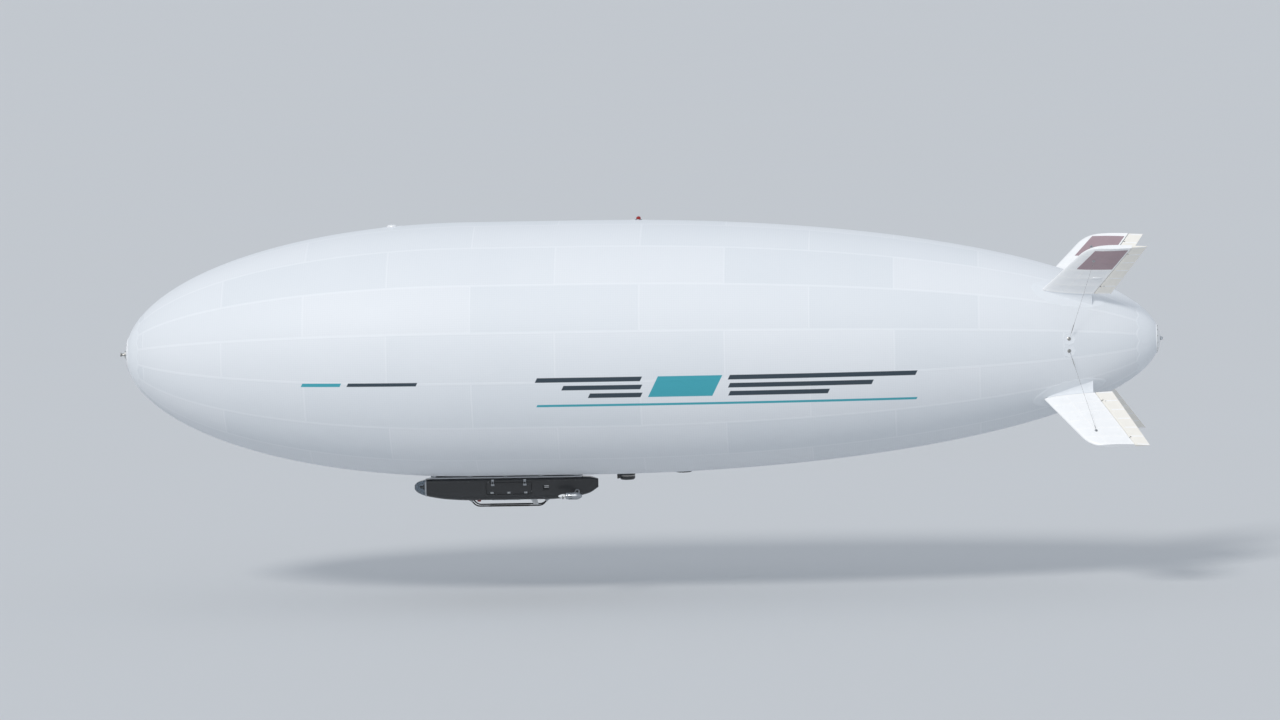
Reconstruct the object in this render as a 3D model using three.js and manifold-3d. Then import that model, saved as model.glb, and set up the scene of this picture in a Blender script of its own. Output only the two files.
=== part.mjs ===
// Small unmanned airship: helium envelope, X tail with four ruddervators, belly gondola with
// two tilting propeller pods. Millimetres, +X to the nose, +Y to port, +Z up.
// The origin is on the hull axis at the centre of buoyancy.
import * as THREE from "three";
import { mergeVertices } from "three/addons/utils/BufferGeometryUtils.js";
import Module from "manifold-3d";

const wasm = await Module();
wasm.setup();

// Driving dimensions of the hull, a body of revolution: half ellipsoid, cylinder, half ellipsoid
const HULL_RADIUS = 2208;
const NOSE_LENGTH = 6050;
const MIDDLE_LENGTH = 2120;
const TAIL_LENGTH = 9830;
const HULL_LENGTH = NOSE_LENGTH + MIDDLE_LENGTH + TAIL_LENGTH;
const SKIN = 10;
const BUOYANCY_STATION = 8500; // aft of the nose tip
const SEGMENTS = 40;
const SEAT = 0.3; // gap left where one piece rests on another
const END_HOLE = 130; // radius of the openings under the nose and tail dishes

// Fins, by station aft of the nose tip and distance from the hull axis
const FIN = {
  rootLead: { station: 15980, reach: 1346 },
  rootTrail: { station: 17150, reach: 1190 },
  tipLead: { station: 16760, reach: 2410 },
  tipTrail: { station: 17770, reach: 2410 },
  thickness: 0.085, // of the chord
  hinge: 0.77, // of the chord
  hingeGap: 9,
  cornerRadius: 190,
};
const FIN_ANGLES = { port_upper: 45, port_lower: 135, starboard_lower: 225, starboard_upper: 315 };
const TRAIL_HALF = 3; // half thickness of the back edge
const HINGE_SPANS = [0.15, 0.85];
const LUG = { width: 14, radius: 11, side: 3, depth: 20, pin: 5, bore: 5.5 };
const STAY = { chord: 0.3, span: 0.72, spread: 40, wire: 4, pin: 6, bore: 6.5, foot: 34, station: 16420 };

// Gondola, in its own frame: x forward from its middle, z down from the lowest line of the hull
const GONDOLA_STATION = 6600;
const WALL = 12;
const RAIL = { side: 180, width: 30, top: -12, bottom: -40, halfLength: 1330 };
const SHELL_TOP = RAIL.bottom - SEAT;
const SHELL_BOTTOM = -420;
const HATCH = { front: 340, rear: -460, top: -104, bottom: -318, gap: 6, axisOut: 11, axisUp: 14 };
const HATCH_HINGES = [220, -340];
const DOME_JOINT = 1400; // where the clear nose meets the shell
const SHAFT = { x: -1250, z: -290, radius: 25, reach: 985 };
const POD = { reach: 1000, radius: 62, back: -130, front: 150 };
const PROPELLER = { radius: 380, plane: 196, hub: 30 };
const SKID = { side: 150, drop: 105, tube: 12, front: 660, rear: -780 };

const paint = (color, roughness, metalness = 0) =>
  new THREE.MeshStandardMaterial({ color, roughness, metalness });
const FINISH = {
  fabric: paint(0xe6ebf2, 0.42),
  finSkin: paint(0xf4f5f6, 0.35),
  composite: paint(0x24272b, 0.4),
  alloy: paint(0xa9adb3, 0.35, 0.9),
  steel: paint(0x8c9094, 0.3, 1),
  clear: paint(0x20262c, 0.1),
  white: paint(0xe9eaec, 0.4),
  dark: paint(0x1c1e21, 0.5),
  red: paint(0xb32420, 0.25),
};

// A closed solid from any geometry, turned right side out
function solid(geometry) {
  const plain = geometry.index ? geometry.toNonIndexed() : geometry;
  const bare = new THREE.BufferGeometry().setAttribute("position", plain.getAttribute("position"));
  const merged = mergeVertices(bare, 1e-3);
  const vertProperties = new Float32Array(merged.attributes.position.array);
  const triVerts = new Uint32Array(merged.index.array);
  const made = new wasm.Manifold(new wasm.Mesh({ numProp: 3, vertProperties, triVerts }));
  if (made.volume() > 0) return made;
  for (let i = 0; i < triVerts.length; i += 3) {
    [triVerts[i + 1], triVerts[i + 2]] = [triVerts[i + 2], triVerts[i + 1]];
  }
  return new wasm.Manifold(new wasm.Mesh({ numProp: 3, vertProperties, triVerts }));
}

const join = (...pieces) => pieces.reduce((whole, piece) => whole.add(piece));
const cut = (whole, ...tools) => tools.reduce((rest, tool) => rest.subtract(tool), whole);

// The named mesh of a solid
function mesh(name, body, material) {
  const { vertProperties, triVerts } = body.getMesh();
  const geometry = new THREE.BufferGeometry();
  geometry.setAttribute("position", new THREE.BufferAttribute(vertProperties, 3));
  geometry.setIndex(new THREE.BufferAttribute(triVerts, 1));
  geometry.computeVertexNormals();
  const made = new THREE.Mesh(geometry, material);
  made.name = name;
  return made;
}

function box(low, high) {
  const size = high.map((value, axis) => value - low[axis]);
  const middle = high.map((value, axis) => (value + low[axis]) / 2);
  return solid(new THREE.BoxGeometry(...size).translate(...middle));
}

// A round bar between two points
function bar(from, to, radius, sides = 12) {
  const a = new THREE.Vector3(...from);
  const b = new THREE.Vector3(...to);
  const turn = new THREE.Quaternion().setFromUnitVectors(
    new THREE.Vector3(0, 1, 0),
    b.clone().sub(a).normalize(),
  );
  const middle = a.clone().add(b).multiplyScalar(0.5);
  const geometry = new THREE.CylinderGeometry(radius, radius, a.distanceTo(b), sides);
  return solid(geometry.applyQuaternion(turn).translate(middle.x, middle.y, middle.z));
}

// A body turned about X: profile rows are [x, radius]
function turned(profile, segments = 24) {
  const points = profile.map(([x, radius]) => new THREE.Vector2(radius, x));
  return solid(new THREE.LatheGeometry(points, segments).rotateZ(-Math.PI / 2));
}

// The same, turned about Z: profile rows are [radius, z]
function turnedUp(profile, segments = 20) {
  const points = profile.map(([radius, z]) => new THREE.Vector2(radius, z));
  return solid(new THREE.LatheGeometry(points, segments).rotateX(Math.PI / 2));
}

// A closed body through rings that have the same number of points, each in order round the body
function loft(rings) {
  const count = rings[0].length;
  const positions = [];
  const triangle = (a, b, c) => positions.push(...a, ...b, ...c);
  for (let i = 0; i + 1 < rings.length; i += 1) {
    for (let j = 0; j < count; j += 1) {
      const k = (j + 1) % count;
      triangle(rings[i][j], rings[i][k], rings[i + 1][k]);
      triangle(rings[i][j], rings[i + 1][k], rings[i + 1][j]);
    }
  }
  const cap = (ring, facing) => {
    const middle = [0, 1, 2].map((axis) => ring.reduce((sum, p) => sum + p[axis], 0) / count);
    for (let j = 0; j < count; j += 1) {
      const k = (j + 1) % count;
      if (facing) triangle(middle, ring[j], ring[k]);
      else triangle(middle, ring[k], ring[j]);
    }
  };
  cap(rings[0], false);
  cap(rings[rings.length - 1], true);
  const geometry = new THREE.BufferGeometry();
  geometry.setAttribute("position", new THREE.Float32BufferAttribute(positions, 3));
  return solid(geometry);
}

const toX = (station) => BUOYANCY_STATION - station;
const radians = THREE.MathUtils.degToRad;

function hullRadius(station) {
  const fromNose = NOSE_LENGTH - station;
  const fromTail = station - NOSE_LENGTH - MIDDLE_LENGTH;
  if (fromNose > 0) return HULL_RADIUS * Math.sqrt(1 - (fromNose / NOSE_LENGTH) ** 2);
  if (fromTail > 0) return HULL_RADIUS * Math.sqrt(1 - (fromTail / TAIL_LENGTH) ** 2);
  return HULL_RADIUS;
}

// Points of the hull's outline from nose to tail, moved out along its normal
function hullOutline(offset, noseSteps = 8, tailSteps = 11) {
  const rows = [];
  const ends = { nose: Math.asin(END_HOLE / HULL_RADIUS), tail: Math.asin(END_HOLE / HULL_RADIUS) };
  const point = (length, angle) => {
    const along = length * Math.cos(angle);
    const out = HULL_RADIUS * Math.sin(angle);
    const normal = new THREE.Vector2(along / length ** 2, out / HULL_RADIUS ** 2).normalize();
    return [along + offset * normal.x, out + offset * normal.y];
  };
  for (let i = 0; i <= noseSteps; i += 1) {
    const angle = ends.nose + (Math.PI / 2 - ends.nose) * (i / noseSteps);
    const [along, radius] = point(NOSE_LENGTH, angle);
    rows.push([toX(NOSE_LENGTH - along), radius]);
  }
  for (let i = tailSteps; i >= 0; i -= 1) {
    const angle = ends.tail + (Math.PI / 2 - ends.tail) * (i / tailSteps);
    const [along, radius] = point(TAIL_LENGTH, angle);
    rows.push([toX(NOSE_LENGTH + MIDDLE_LENGTH + along), radius]);
  }
  return rows;
}

function envelopeSolid() {
  const outer = hullOutline(0);
  const inner = hullOutline(-SKIN).reverse();
  return turned([...outer, ...inner, outer[0]], SEGMENTS);
}

// The filled hull grown by the seat gap, which trims whatever rests on the hull
function hullTool(gap = SEAT) {
  const rows = hullOutline(gap);
  const first = rows[0][0];
  const last = rows[rows.length - 1][0];
  return turned([[first, 0], ...rows, [last, 0]], SEGMENTS);
}
const HULL_TOOL = hullTool();

// A round dish that follows an end of the hull: sign is 1 at the nose and -1 at the tail
function endDish(sign, reach, plate) {
  const length = sign > 0 ? NOSE_LENGTH : TAIL_LENGTH;
  const station = (radius) => {
    const along = length * Math.sqrt(1 - (radius / HULL_RADIUS) ** 2);
    return sign > 0 ? toX(NOSE_LENGTH - along) : toX(NOSE_LENGTH + MIDDLE_LENGTH + along);
  };
  const steps = [1, 0.8, 0.45, 0];
  const outer = steps.map((part) => [station(part * reach) + sign * plate, part * reach]);
  const sunk = station(reach) - sign * 60;
  const body = turned([...outer, [sunk, 0], [sunk, reach], outer[0]], SEGMENTS / 2);
  return cut(body, HULL_TOOL);
}

// Nose dish, mooring spindle and tail dish
function hullFittings() {
  const group = new THREE.Group();
  const noseTip = toX(0);
  const tailTip = toX(HULL_LENGTH);
  const noseFace = noseTip + 12;
  const tailFace = tailTip - 10;
  group.add(mesh("nose_dish", endDish(1, 300, 12), FINISH.white));
  const spindle = turned(
    [
      [noseFace + SEAT, 0],
      [noseFace + SEAT, 70],
      [noseFace + 12, 70],
      [noseFace + 16, 26],
      [noseFace + 70, 22],
      [noseFace + 74, 38],
      [noseFace + 88, 38],
      [noseFace + 92, 30],
      [noseFace + 92, 0],
    ],
    20,
  );
  group.add(mesh("mooring_spindle", spindle, FINISH.steel));
  group.add(mesh("tail_dish", endDish(-1, 260, 10), FINISH.white));
  const light = turned(
    [
      [tailFace - SEAT, 0],
      [tailFace - SEAT, 34],
      [tailFace - 24, 32],
      [tailFace - 42, 20],
      [tailFace - 48, 0],
    ],
    16,
  );
  group.add(mesh("tail_light", light, FINISH.white));
  return group;
}

// A round fitting that stands on the hull at a station and an angle from the top
function roundFitting(name, station, angle, profile, material) {
  const group = new THREE.Group();
  group.rotation.x = -radians(angle);
  const base = hullRadius(station);
  const body = turnedUp(profile, 24).translate([toX(station), 0, base]);
  group.add(mesh(name, cut(body, HULL_TOOL), material));
  return group;
}

// Top and belly fittings by station and angle: profile rows are [radius, height above the hull]
function roundFittings() {
  const sunk = -45;
  const beacon = [[0, sunk], [62, sunk], [62, 14], [40, 16], [38, 44], [22, 66], [0, 72]];
  const antenna = [[0, sunk], [95, sunk], [95, 12], [78, 34], [0, 44]];
  const gasValve = [[0, sunk], [165, sunk], [165, 16], [120, 26], [118, 12], [40, 12], [36, 34], [0, 38]];
  const airValve = [[0, sunk], [145, sunk], [145, 14], [108, 22], [106, 10], [0, 14]];
  const group = new THREE.Group();
  group.add(
    roundFitting("top_beacon", 9000, 0, beacon, FINISH.red),
    roundFitting("gnss_antenna", 4700, 0, antenna, FINISH.white),
    roundFitting("gas_valve", 10600, 198, gasValve, FINISH.white),
    roundFitting("air_valve", 9700, 180, airValve, FINISH.dark),
  );
  return group;
}

// The fan that feeds the air cell: a drum on the belly with a scoop that faces forward
function airBlower() {
  const middle = toX(8720);
  const hull = -HULL_RADIUS;
  const drum = turnedUp([[0, 45], [135, 45], [135, -88], [112, -112], [0, -112]]);
  const mouth = 190;
  const ring = (x, halfWidth, top, bottom) => roundedRing(x, halfWidth, top, bottom, 18, 28, 2);
  const scoop = loft([ring(20, 70, 30, -88), ring(90, 84, 30, -92), ring(mouth, 92, 30, -96)]);
  const hollow = loft([ring(110, 66, -14, -74), ring(mouth + 5, 82, -14, -86)]);
  const body = cut(join(drum, scoop), hollow).translate([middle, 0, hull]);
  return mesh("air_blower", cut(body, HULL_TOOL), FINISH.composite);
}

// A point of the fin: chord 0 to 1 from front to back, span 0 to 1 from root to tip
function finPoint(chord, span) {
  const mix = (a, b, part) => a + (b - a) * part;
  const lead = ["station", "reach"].map((key) => mix(FIN.rootLead[key], FIN.tipLead[key], span));
  const trail = ["station", "reach"].map((key) => mix(FIN.rootTrail[key], FIN.tipTrail[key], span));
  return [toX(mix(lead[0], trail[0], chord)), mix(lead[1], trail[1], chord)];
}

// Half thickness of the fin's section, a symmetric aerofoil with a blunt back edge
function finHalf(chord, span) {
  const length = finPoint(0, span)[0] - finPoint(1, span)[0];
  const powers = [-0.126 * chord, -0.3516 * chord ** 2, 0.2843 * chord ** 3, -0.1015 * chord ** 4];
  const shape = powers.reduce((sum, term) => sum + term, 0.2969 * Math.sqrt(chord));
  return Math.max(5 * FIN.thickness * shape * length, TRAIL_HALF);
}

// How far the rounded front corner moves the leading edge aft, as a part of the chord
function cornerCut(span) {
  const height = (1 - span) * (FIN.tipLead.reach - FIN.rootLead.reach);
  const inside = Math.max(0, 1 - height / FIN.cornerRadius);
  const rootChord = FIN.rootTrail.station - FIN.rootLead.station;
  return (FIN.cornerRadius * (1 - Math.sqrt(1 - inside ** 2))) / rootChord;
}

const FIN_SPANS = [0, 0.45, 0.82, 0.9, 0.96, 1];

// The fixed fin ahead of the hinge
function finPanel() {
  const parts = [0.02, 0.07, 0.17, 0.34, 0.58, 0.8];
  const rings = FIN_SPANS.map((span) => {
    const front = cornerCut(span);
    const length = finPoint(0, span)[0] - finPoint(1, span)[0];
    const back = FIN.hinge - (finHalf(FIN.hinge, span) + FIN.hingeGap) / length;
    const at = (part) => front + (back - front) * part;
    const side = (sign) => (part) => {
      const chord = at(part);
      const [x, z] = finPoint(chord, span);
      return [x, sign * finHalf(Math.max(chord - front, 0), span), z];
    };
    const [noseX, noseZ] = finPoint(front, span);
    return [[noseX, 0, noseZ], ...[...parts, 1].map(side(1)), ...[...parts, 1].reverse().map(side(-1))];
  });
  return loft(rings);
}

// The moving surface behind the hinge, with a round front edge
function ruddervatorPanel() {
  const arc = [90, 120, 150, 180, 210, 240, 270].map(radians);
  const rings = [0, 1].map((span) => {
    const [x, z] = finPoint(FIN.hinge, span);
    const half = finHalf(FIN.hinge, span);
    const [tailX, tailZ] = finPoint(1, span);
    const nose = arc.map((angle) => [x - half * Math.cos(angle), half * Math.sin(angle), z]);
    return [...nose, [tailX, -TRAIL_HALF, tailZ], [tailX, TRAIL_HALF, tailZ]];
  });
  return loft(rings);
}

// The frame of a hinge: x forward, y across the fin, z along the hinge line
function hingeFrame(span) {
  const [x0, z0] = finPoint(FIN.hinge, 0);
  const [x1, z1] = finPoint(FIN.hinge, 1);
  const along = new THREE.Vector3(x1 - x0, 0, z1 - z0).normalize();
  const across = new THREE.Vector3(0, 1, 0);
  const forward = new THREE.Vector3().crossVectors(across, along);
  const matrix = new THREE.Matrix4().makeBasis(forward, across, along);
  return matrix.setPosition(x0 + (x1 - x0) * span, 0, z0 + (z1 - z0) * span);
}

// Parts of one hinge, made about the hinge line: lug on the fin, slot and pin of the surface
function hingeParts(span) {
  const frame = hingeFrame(span);
  const place = (geometry) => solid(geometry.applyMatrix4(frame));
  const disc = (radius, width, sides) =>
    place(new THREE.CylinderGeometry(radius, radius, width, sides).rotateX(Math.PI / 2));
  const slotWidth = LUG.width + 2 * LUG.side;
  const stem = place(new THREE.BoxGeometry(70, 2 * LUG.radius, LUG.width).translate(35, 0, 0));
  const slot = place(new THREE.BoxGeometry(90, 90, slotWidth).translate(45 - LUG.depth, 0, 0));
  return {
    lug: cut(join(stem, disc(LUG.radius, LUG.width, 12)), disc(LUG.bore, LUG.width * 2, 12)),
    slot,
    pin: disc(LUG.pin, slotWidth + 12, 12),
  };
}

// The fabric-covered fillet that fills the wedge between the hull and the fin's root
function finFillet() {
  const rows = [0.06, 0.28, 0.5, 0.72];
  const rings = rows.map((chord) => {
    const [x, top] = finPoint(chord, 0);
    const station = toX(x);
    const base = hullRadius(station) - 70;
    const topHalf = finHalf(chord, 0) + 4;
    const baseHalf = topHalf + 26 + 0.42 * (top - base - 70);
    const lid = top - SEAT;
    return [
      [x, topHalf, lid],
      [x, baseHalf, base],
      [x, -baseHalf, base],
      [x, -topHalf, lid],
    ];
  });
  return cut(loft(rings), HULL_TOOL);
}

// Two stays from a pin through the fin to feet on the hull at either side
function finStays() {
  const [x, z] = finPoint(STAY.chord, STAY.span);
  const half = finHalf(STAY.chord, STAY.span);
  const out = half + 14;
  const angle = radians(STAY.spread);
  const reach = hullRadius(STAY.station) - 4;
  const footX = toX(STAY.station);
  const slope = Math.atan2(hullRadius(STAY.station - 50) - hullRadius(STAY.station + 50), 100);
  const sides = [1, -1].map((sign) => {
    const foot = [footX, sign * reach * Math.sin(angle), reach * Math.cos(angle)];
    const wire = bar([x, sign * (out - 6), z], foot, STAY.wire, 6);
    const plate = new THREE.CylinderGeometry(STAY.foot, STAY.foot, 40, 12).rotateX(Math.PI / 2);
    plate.rotateY(-slope).translate(0, 0, -10);
    const place = new THREE.Matrix4().makeRotationX(-sign * angle);
    place.setPosition(...foot);
    return join(wire, solid(plate.applyMatrix4(place)));
  });
  const pin = bar([x, -out, z], [x, out, z], STAY.pin, 10);
  return cut(join(pin, ...sides), HULL_TOOL);
}

// One fin, its ruddervator, root fillet and stays, turned to its place round the hull
function finAssembly(place, angle) {
  const group = new THREE.Group();
  group.rotation.x = -radians(angle);
  const hinges = HINGE_SPANS.map(hingeParts);
  const [pinX, pinZ] = finPoint(STAY.chord, STAY.span);
  const bore = bar([pinX, -80, pinZ], [pinX, 80, pinZ], STAY.bore, 10);
  const fin = cut(join(finPanel(), ...hinges.map((hinge) => hinge.lug)), bore);
  const surface = join(
    cut(ruddervatorPanel(), ...hinges.map((hinge) => hinge.slot)),
    ...hinges.map((hinge) => hinge.pin),
  );
  group.add(
    mesh(`fin_${place}`, fin, FINISH.finSkin),
    mesh(`ruddervator_${place}`, surface, FINISH.finSkin),
    mesh(`fin_fillet_${place}`, finFillet(), FINISH.fabric),
    mesh(`fin_stays_${place}`, finStays(), FINISH.steel),
  );
  return group;
}

// A rounded rectangle across X, counted round from the top
function roundedRing(x, halfWidth, top, bottom, topCorner, bottomCorner, steps = 3) {
  const corners = [
    [halfWidth - topCorner, top - topCorner, topCorner, 0],
    [-halfWidth + topCorner, top - topCorner, topCorner, 90],
    [-halfWidth + bottomCorner, bottom + bottomCorner, bottomCorner, 180],
    [halfWidth - bottomCorner, bottom + bottomCorner, bottomCorner, 270],
  ];
  return corners.flatMap(([y, z, radius, start]) =>
    Array.from({ length: steps + 1 }, (_, i) => {
      const angle = radians(start + (90 * i) / steps);
      return [x, y + radius * Math.cos(angle), z + radius * Math.sin(angle)];
    }),
  );
}

// Sections of the gondola: [x, half width, top, bottom, top corner, bottom corner]
const GONDOLA_SECTIONS = [
  [1600, 46, -150, -235, 28, 34],
  [1560, 92, -108, -276, 44, 60],
  [1470, 146, -74, -320, 52, 84],
  [1300, 196, SHELL_TOP, -362, 44, 92],
  [1000, 236, SHELL_TOP, -402, 40, 92],
  [640, 250, SHELL_TOP, SHELL_BOTTOM, 40, 92],
  [-760, 250, SHELL_TOP, SHELL_BOTTOM, 40, 92],
  [-1150, 214, SHELL_TOP, -392, 40, 84],
  [-1450, 140, SHELL_TOP - 8, -330, 36, 64],
  [-1600, 62, -84, -240, 24, 40],
];

const gondolaLoft = (inset) =>
  loft(
    GONDOLA_SECTIONS.map(([x, halfWidth, top, bottom, topCorner, bottomCorner], index) => {
      const last = GONDOLA_SECTIONS.length - 1;
      const shift = index === 0 ? -inset : index === last ? inset : 0;
      const corner = (radius) => Math.max(radius - inset, 8);
      return roundedRing(
        x + shift,
        halfWidth - inset,
        top - inset,
        bottom + inset,
        corner(topCorner),
        corner(bottomCorner),
      );
    }),
  );

// The keel frame that hangs from the hull's load patches: two rails, cross members and pads
function keelFrame() {
  const rails = [1, -1].map((sign) => {
    const inner = RAIL.side - RAIL.width / 2;
    const sides = [sign * inner, sign * (inner + RAIL.width)].sort((a, b) => a - b);
    return box([-RAIL.halfLength, sides[0], RAIL.bottom], [RAIL.halfLength, sides[1], RAIL.top]);
  });
  const stations = [-1240, -620, 0, 620, 1240];
  const members = stations.map((x) =>
    box([x - 15, -RAIL.side, RAIL.bottom + 4], [x + 15, RAIL.side, RAIL.top - 4]),
  );
  const pads = stations.flatMap((x) =>
    [1, -1].map((sign) => {
      const side = sign * RAIL.side;
      return box([x - 45, side - 45, RAIL.top - 6], [x + 45, side + 45, 60]);
    }),
  );
  return join(...rails, ...members, ...pads);
}

// The hinge line of a hatch: sign is 1 to port and -1 to starboard
const hatchAxis = (sign) => [sign * (GONDOLA_SECTIONS[5][1] + HATCH.axisOut), HATCH.top + HATCH.axisUp];

function hatchLugs(sign) {
  const [y, z] = hatchAxis(sign);
  const wallFace = sign * (GONDOLA_SECTIONS[5][1] - 6);
  return HATCH_HINGES.map((x) => {
    const barrel = bar([x - 10, y, z], [x + 10, y, z], 8, 12);
    const sides = [wallFace, y].sort((a, b) => a - b);
    const root = box([x - 10, sides[0], z - 6], [x + 10, sides[1], z + 6]);
    return cut(join(barrel, root), bar([x - 20, y, z], [x + 20, y, z], 3.6, 12));
  });
}

function gondolaShell() {
  const outer = gondolaLoft(0);
  const bay = gondolaLoft(WALL).intersect(box([-1540, -400, -500], [DOME_JOINT - WALL, 400, 0]));
  const hood = box([-1000, -150, -120], [1150, 150, 20]);
  const hatchHole = box([HATCH.rear, -400, HATCH.bottom], [HATCH.front, 400, HATCH.top]);
  const front = box([DOME_JOINT, -400, -500], [1700, 400, 20]);
  const wallAt = 196; // half width of the shell at the shaft
  const collars = [1, -1].map((sign) =>
    bar([SHAFT.x, sign * (wallAt - 30), SHAFT.z], [SHAFT.x, sign * (wallAt + 14), SHAFT.z], 44, 20),
  );
  const lugs = [1, -1].flatMap(hatchLugs);
  const bore = bar([SHAFT.x, -400, SHAFT.z], [SHAFT.x, 400, SHAFT.z], SHAFT.radius + 0.9, 24);
  const shell = cut(outer, bay, hood, hatchHole, front);
  return cut(join(shell, ...collars, ...lugs), bore);
}

// A side hatch: a panel of the wall with two hinge arms along its top edge
function hatchPanel(sign) {
  const { rear, front, bottom, top, gap } = HATCH;
  const wall = cut(gondolaLoft(0), gondolaLoft(WALL));
  const sides = [0, sign * 400].sort((a, b) => a - b);
  const window = box([rear + gap, sides[0], bottom + gap], [front - gap, sides[1], top - gap]);
  const panel = wall.intersect(window);
  const [y, z] = hatchAxis(sign);
  const face = sign * (GONDOLA_SECTIONS[5][1] - 4);
  const skin = sign * (GONDOLA_SECTIONS[5][1] + 1);
  const arms = HATCH_HINGES.flatMap((x) => [
    ...[x - 17, x + 17].map((middle) => {
      const span = [skin, y + sign * 5].sort((a, b) => a - b);
      const low = [face, y + sign * 5].sort((a, b) => a - b);
      const upright = box([middle - 5, span[0], top - 60], [middle + 5, span[1], z]);
      const foot = box([middle - 5, low[0], top - 60], [middle + 5, low[1], top - gap - 6]);
      const eye = bar([middle - 5, y, z], [middle + 5, y, z], 7, 10);
      return join(upright, foot, eye);
    }),
    bar([x - 18, y, z], [x + 18, y, z], 3, 10),
  ]);
  return join(panel, ...arms);
}

const noseWindow = () =>
  cut(
    gondolaLoft(0).intersect(box([DOME_JOINT + SEAT, -400, -500], [1700, 400, 0])),
    gondolaLoft(6).intersect(box([DOME_JOINT - 20, -400, -500], [1700, 400, 0])),
  );

// The forward camera on the bulkhead behind the clear nose
const forwardCamera = () =>
  join(
    box([DOME_JOINT + SEAT, -40, -235], [DOME_JOINT + 60, 40, -155]),
    bar([DOME_JOINT + 55, 0, -195], [DOME_JOINT + 105, 0, -195], 24, 16),
  );

// The tilting cross tube, from one motor pod to the other
const crossTube = () =>
  bar([SHAFT.x, -SHAFT.reach, SHAFT.z], [SHAFT.x, SHAFT.reach, SHAFT.z], SHAFT.radius, 24);

// A motor pod on the end of the tube, with a socket for the tube and a bore for the shaft
function motorPod(sign) {
  const r = POD.radius;
  const body = turned(
    [
      [POD.back, 0],
      [POD.back, 22],
      [POD.back + 40, 44],
      [POD.back + 80, r],
      [POD.front - 46, r],
      [POD.front - 40, r - 8],
      [POD.front, r - 8],
      [POD.front, 0],
    ],
    24,
  );
  const seat = POD.reach - SHAFT.reach - 0.6;
  const socket = bar([0, -sign * 400, 0], [0, -sign * seat, 0], SHAFT.radius + 0.7, 24);
  const bore = bar([POD.front - 60, 0, 0], [POD.front + 10, 0, 0], 8.6, 20);
  return cut(body, socket, bore).translate([SHAFT.x, sign * POD.reach, SHAFT.z]);
}

// A two-blade propeller: blade rows are [radius, chord, thickness, pitch in degrees]
function propeller(sign) {
  const blade = [
    [20, 34, 16, 38],
    [70, 50, 12, 34],
    [150, 66, 9, 25],
    [260, 54, 7, 17],
    [350, 36, 5, 13],
    [PROPELLER.radius, 18, 4, 12],
  ];
  const rings = blade.map(([radius, chord, thickness, pitch]) => {
    const angle = radians(pitch) * sign;
    const corners = [[-0.5, 0], [-0.25, 0.5], [0.15, 0.45], [0.5, 0], [0.15, -0.2], [-0.25, -0.3]];
    return corners.map(([along, up]) => {
      const a = along * chord;
      const b = up * thickness;
      const x = a * Math.sin(angle) + b * Math.cos(angle);
      return [x, radius, a * Math.cos(angle) - b * Math.sin(angle)];
    });
  });
  const one = loft(rings);
  const other = one.rotate([180, 0, 0]);
  const { hub } = PROPELLER;
  const face = POD.front + 8 - PROPELLER.plane;
  const spinner = turned(
    [[face, 0], [face, hub + 6], [face + 30, hub + 6], [50, 26], [78, 12], [86, 0]],
    20,
  );
  const shaft = bar([POD.front - 55 - PROPELLER.plane, 0, 0], [face + 10, 0, 0], 8, 16);
  const place = [SHAFT.x + PROPELLER.plane, sign * POD.reach, SHAFT.z];
  return join(one, other, spinner, shaft).translate(place);
}

// A landing skid: a bent tube with feet on the gondola's floor
function skid(sign) {
  const { front, rear, drop, tube } = SKID;
  const low = SHELL_BOTTOM - drop;
  const foot = SHELL_BOTTOM - 16;
  const bend = low + 45;
  const point = (x, z) => new THREE.Vector3(x, 0, z);
  const route = [
    [point(front - 60, foot), point(front - 105, bend)],
    [point(front - 105, bend), point(front - 150, low), point(front - 210, low)],
    [point(front - 210, low), point(rear + 210, low)],
    [point(rear + 210, low), point(rear + 150, low), point(rear + 105, bend)],
    [point(rear + 105, bend), point(rear + 60, foot)],
  ];
  const path = new THREE.CurvePath();
  for (const points of route) {
    const bent = points.length === 3;
    path.add(bent ? new THREE.QuadraticBezierCurve3(...points) : new THREE.LineCurve3(...points));
  }
  const circle = new THREE.Shape().absarc(0, 0, tube, 0, 2 * Math.PI);
  const geometry = new THREE.ExtrudeGeometry(circle, { extrudePath: path, steps: 26, curveSegments: 4 });
  const feet = [front - 60, rear + 60].map((x) =>
    box([x - 40, -28, SHELL_BOTTOM - 20], [x + 40, 28, SHELL_BOTTOM - SEAT]),
  );
  return join(solid(geometry), ...feet).translate([0, sign * SKID.side, 0]);
}

// The flat plate under the floor that takes a load
const payloadPlate = () => box([-250, -110, SHELL_BOTTOM - 10], [250, 110, SHELL_BOTTOM - SEAT]);

// A swept blade antenna under the rear of the floor
function bladeAntenna() {
  const outline = new THREE.Shape();
  outline.moveTo(60, 0);
  outline.lineTo(-50, 0);
  outline.lineTo(-80, -110);
  outline.lineTo(-45, -116);
  outline.lineTo(60, 0);
  const blade = solid(new THREE.ExtrudeGeometry(outline, { depth: 10, bevelEnabled: false }));
  const fin = blade.translate([0, 0, -5]).rotate([90, 0, 0]);
  const base = box([-75, -22, -6], [75, 22, 0]);
  return join(fin, base).translate([-480, 0, SHELL_BOTTOM - SEAT]);
}

const bellyBeacon = () =>
  turnedUp([[0, 0], [46, 0], [46, -10], [36, -12], [30, -34], [0, -44]]).translate([
    480, 0, SHELL_BOTTOM - SEAT,
  ]);

// The battery pack, one plain block on the floor of the bay
const batteryPack = () => {
  const floor = SHELL_BOTTOM + WALL + SEAT;
  return box([-280, -150, floor], [620, 150, floor + 150]);
};

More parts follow.
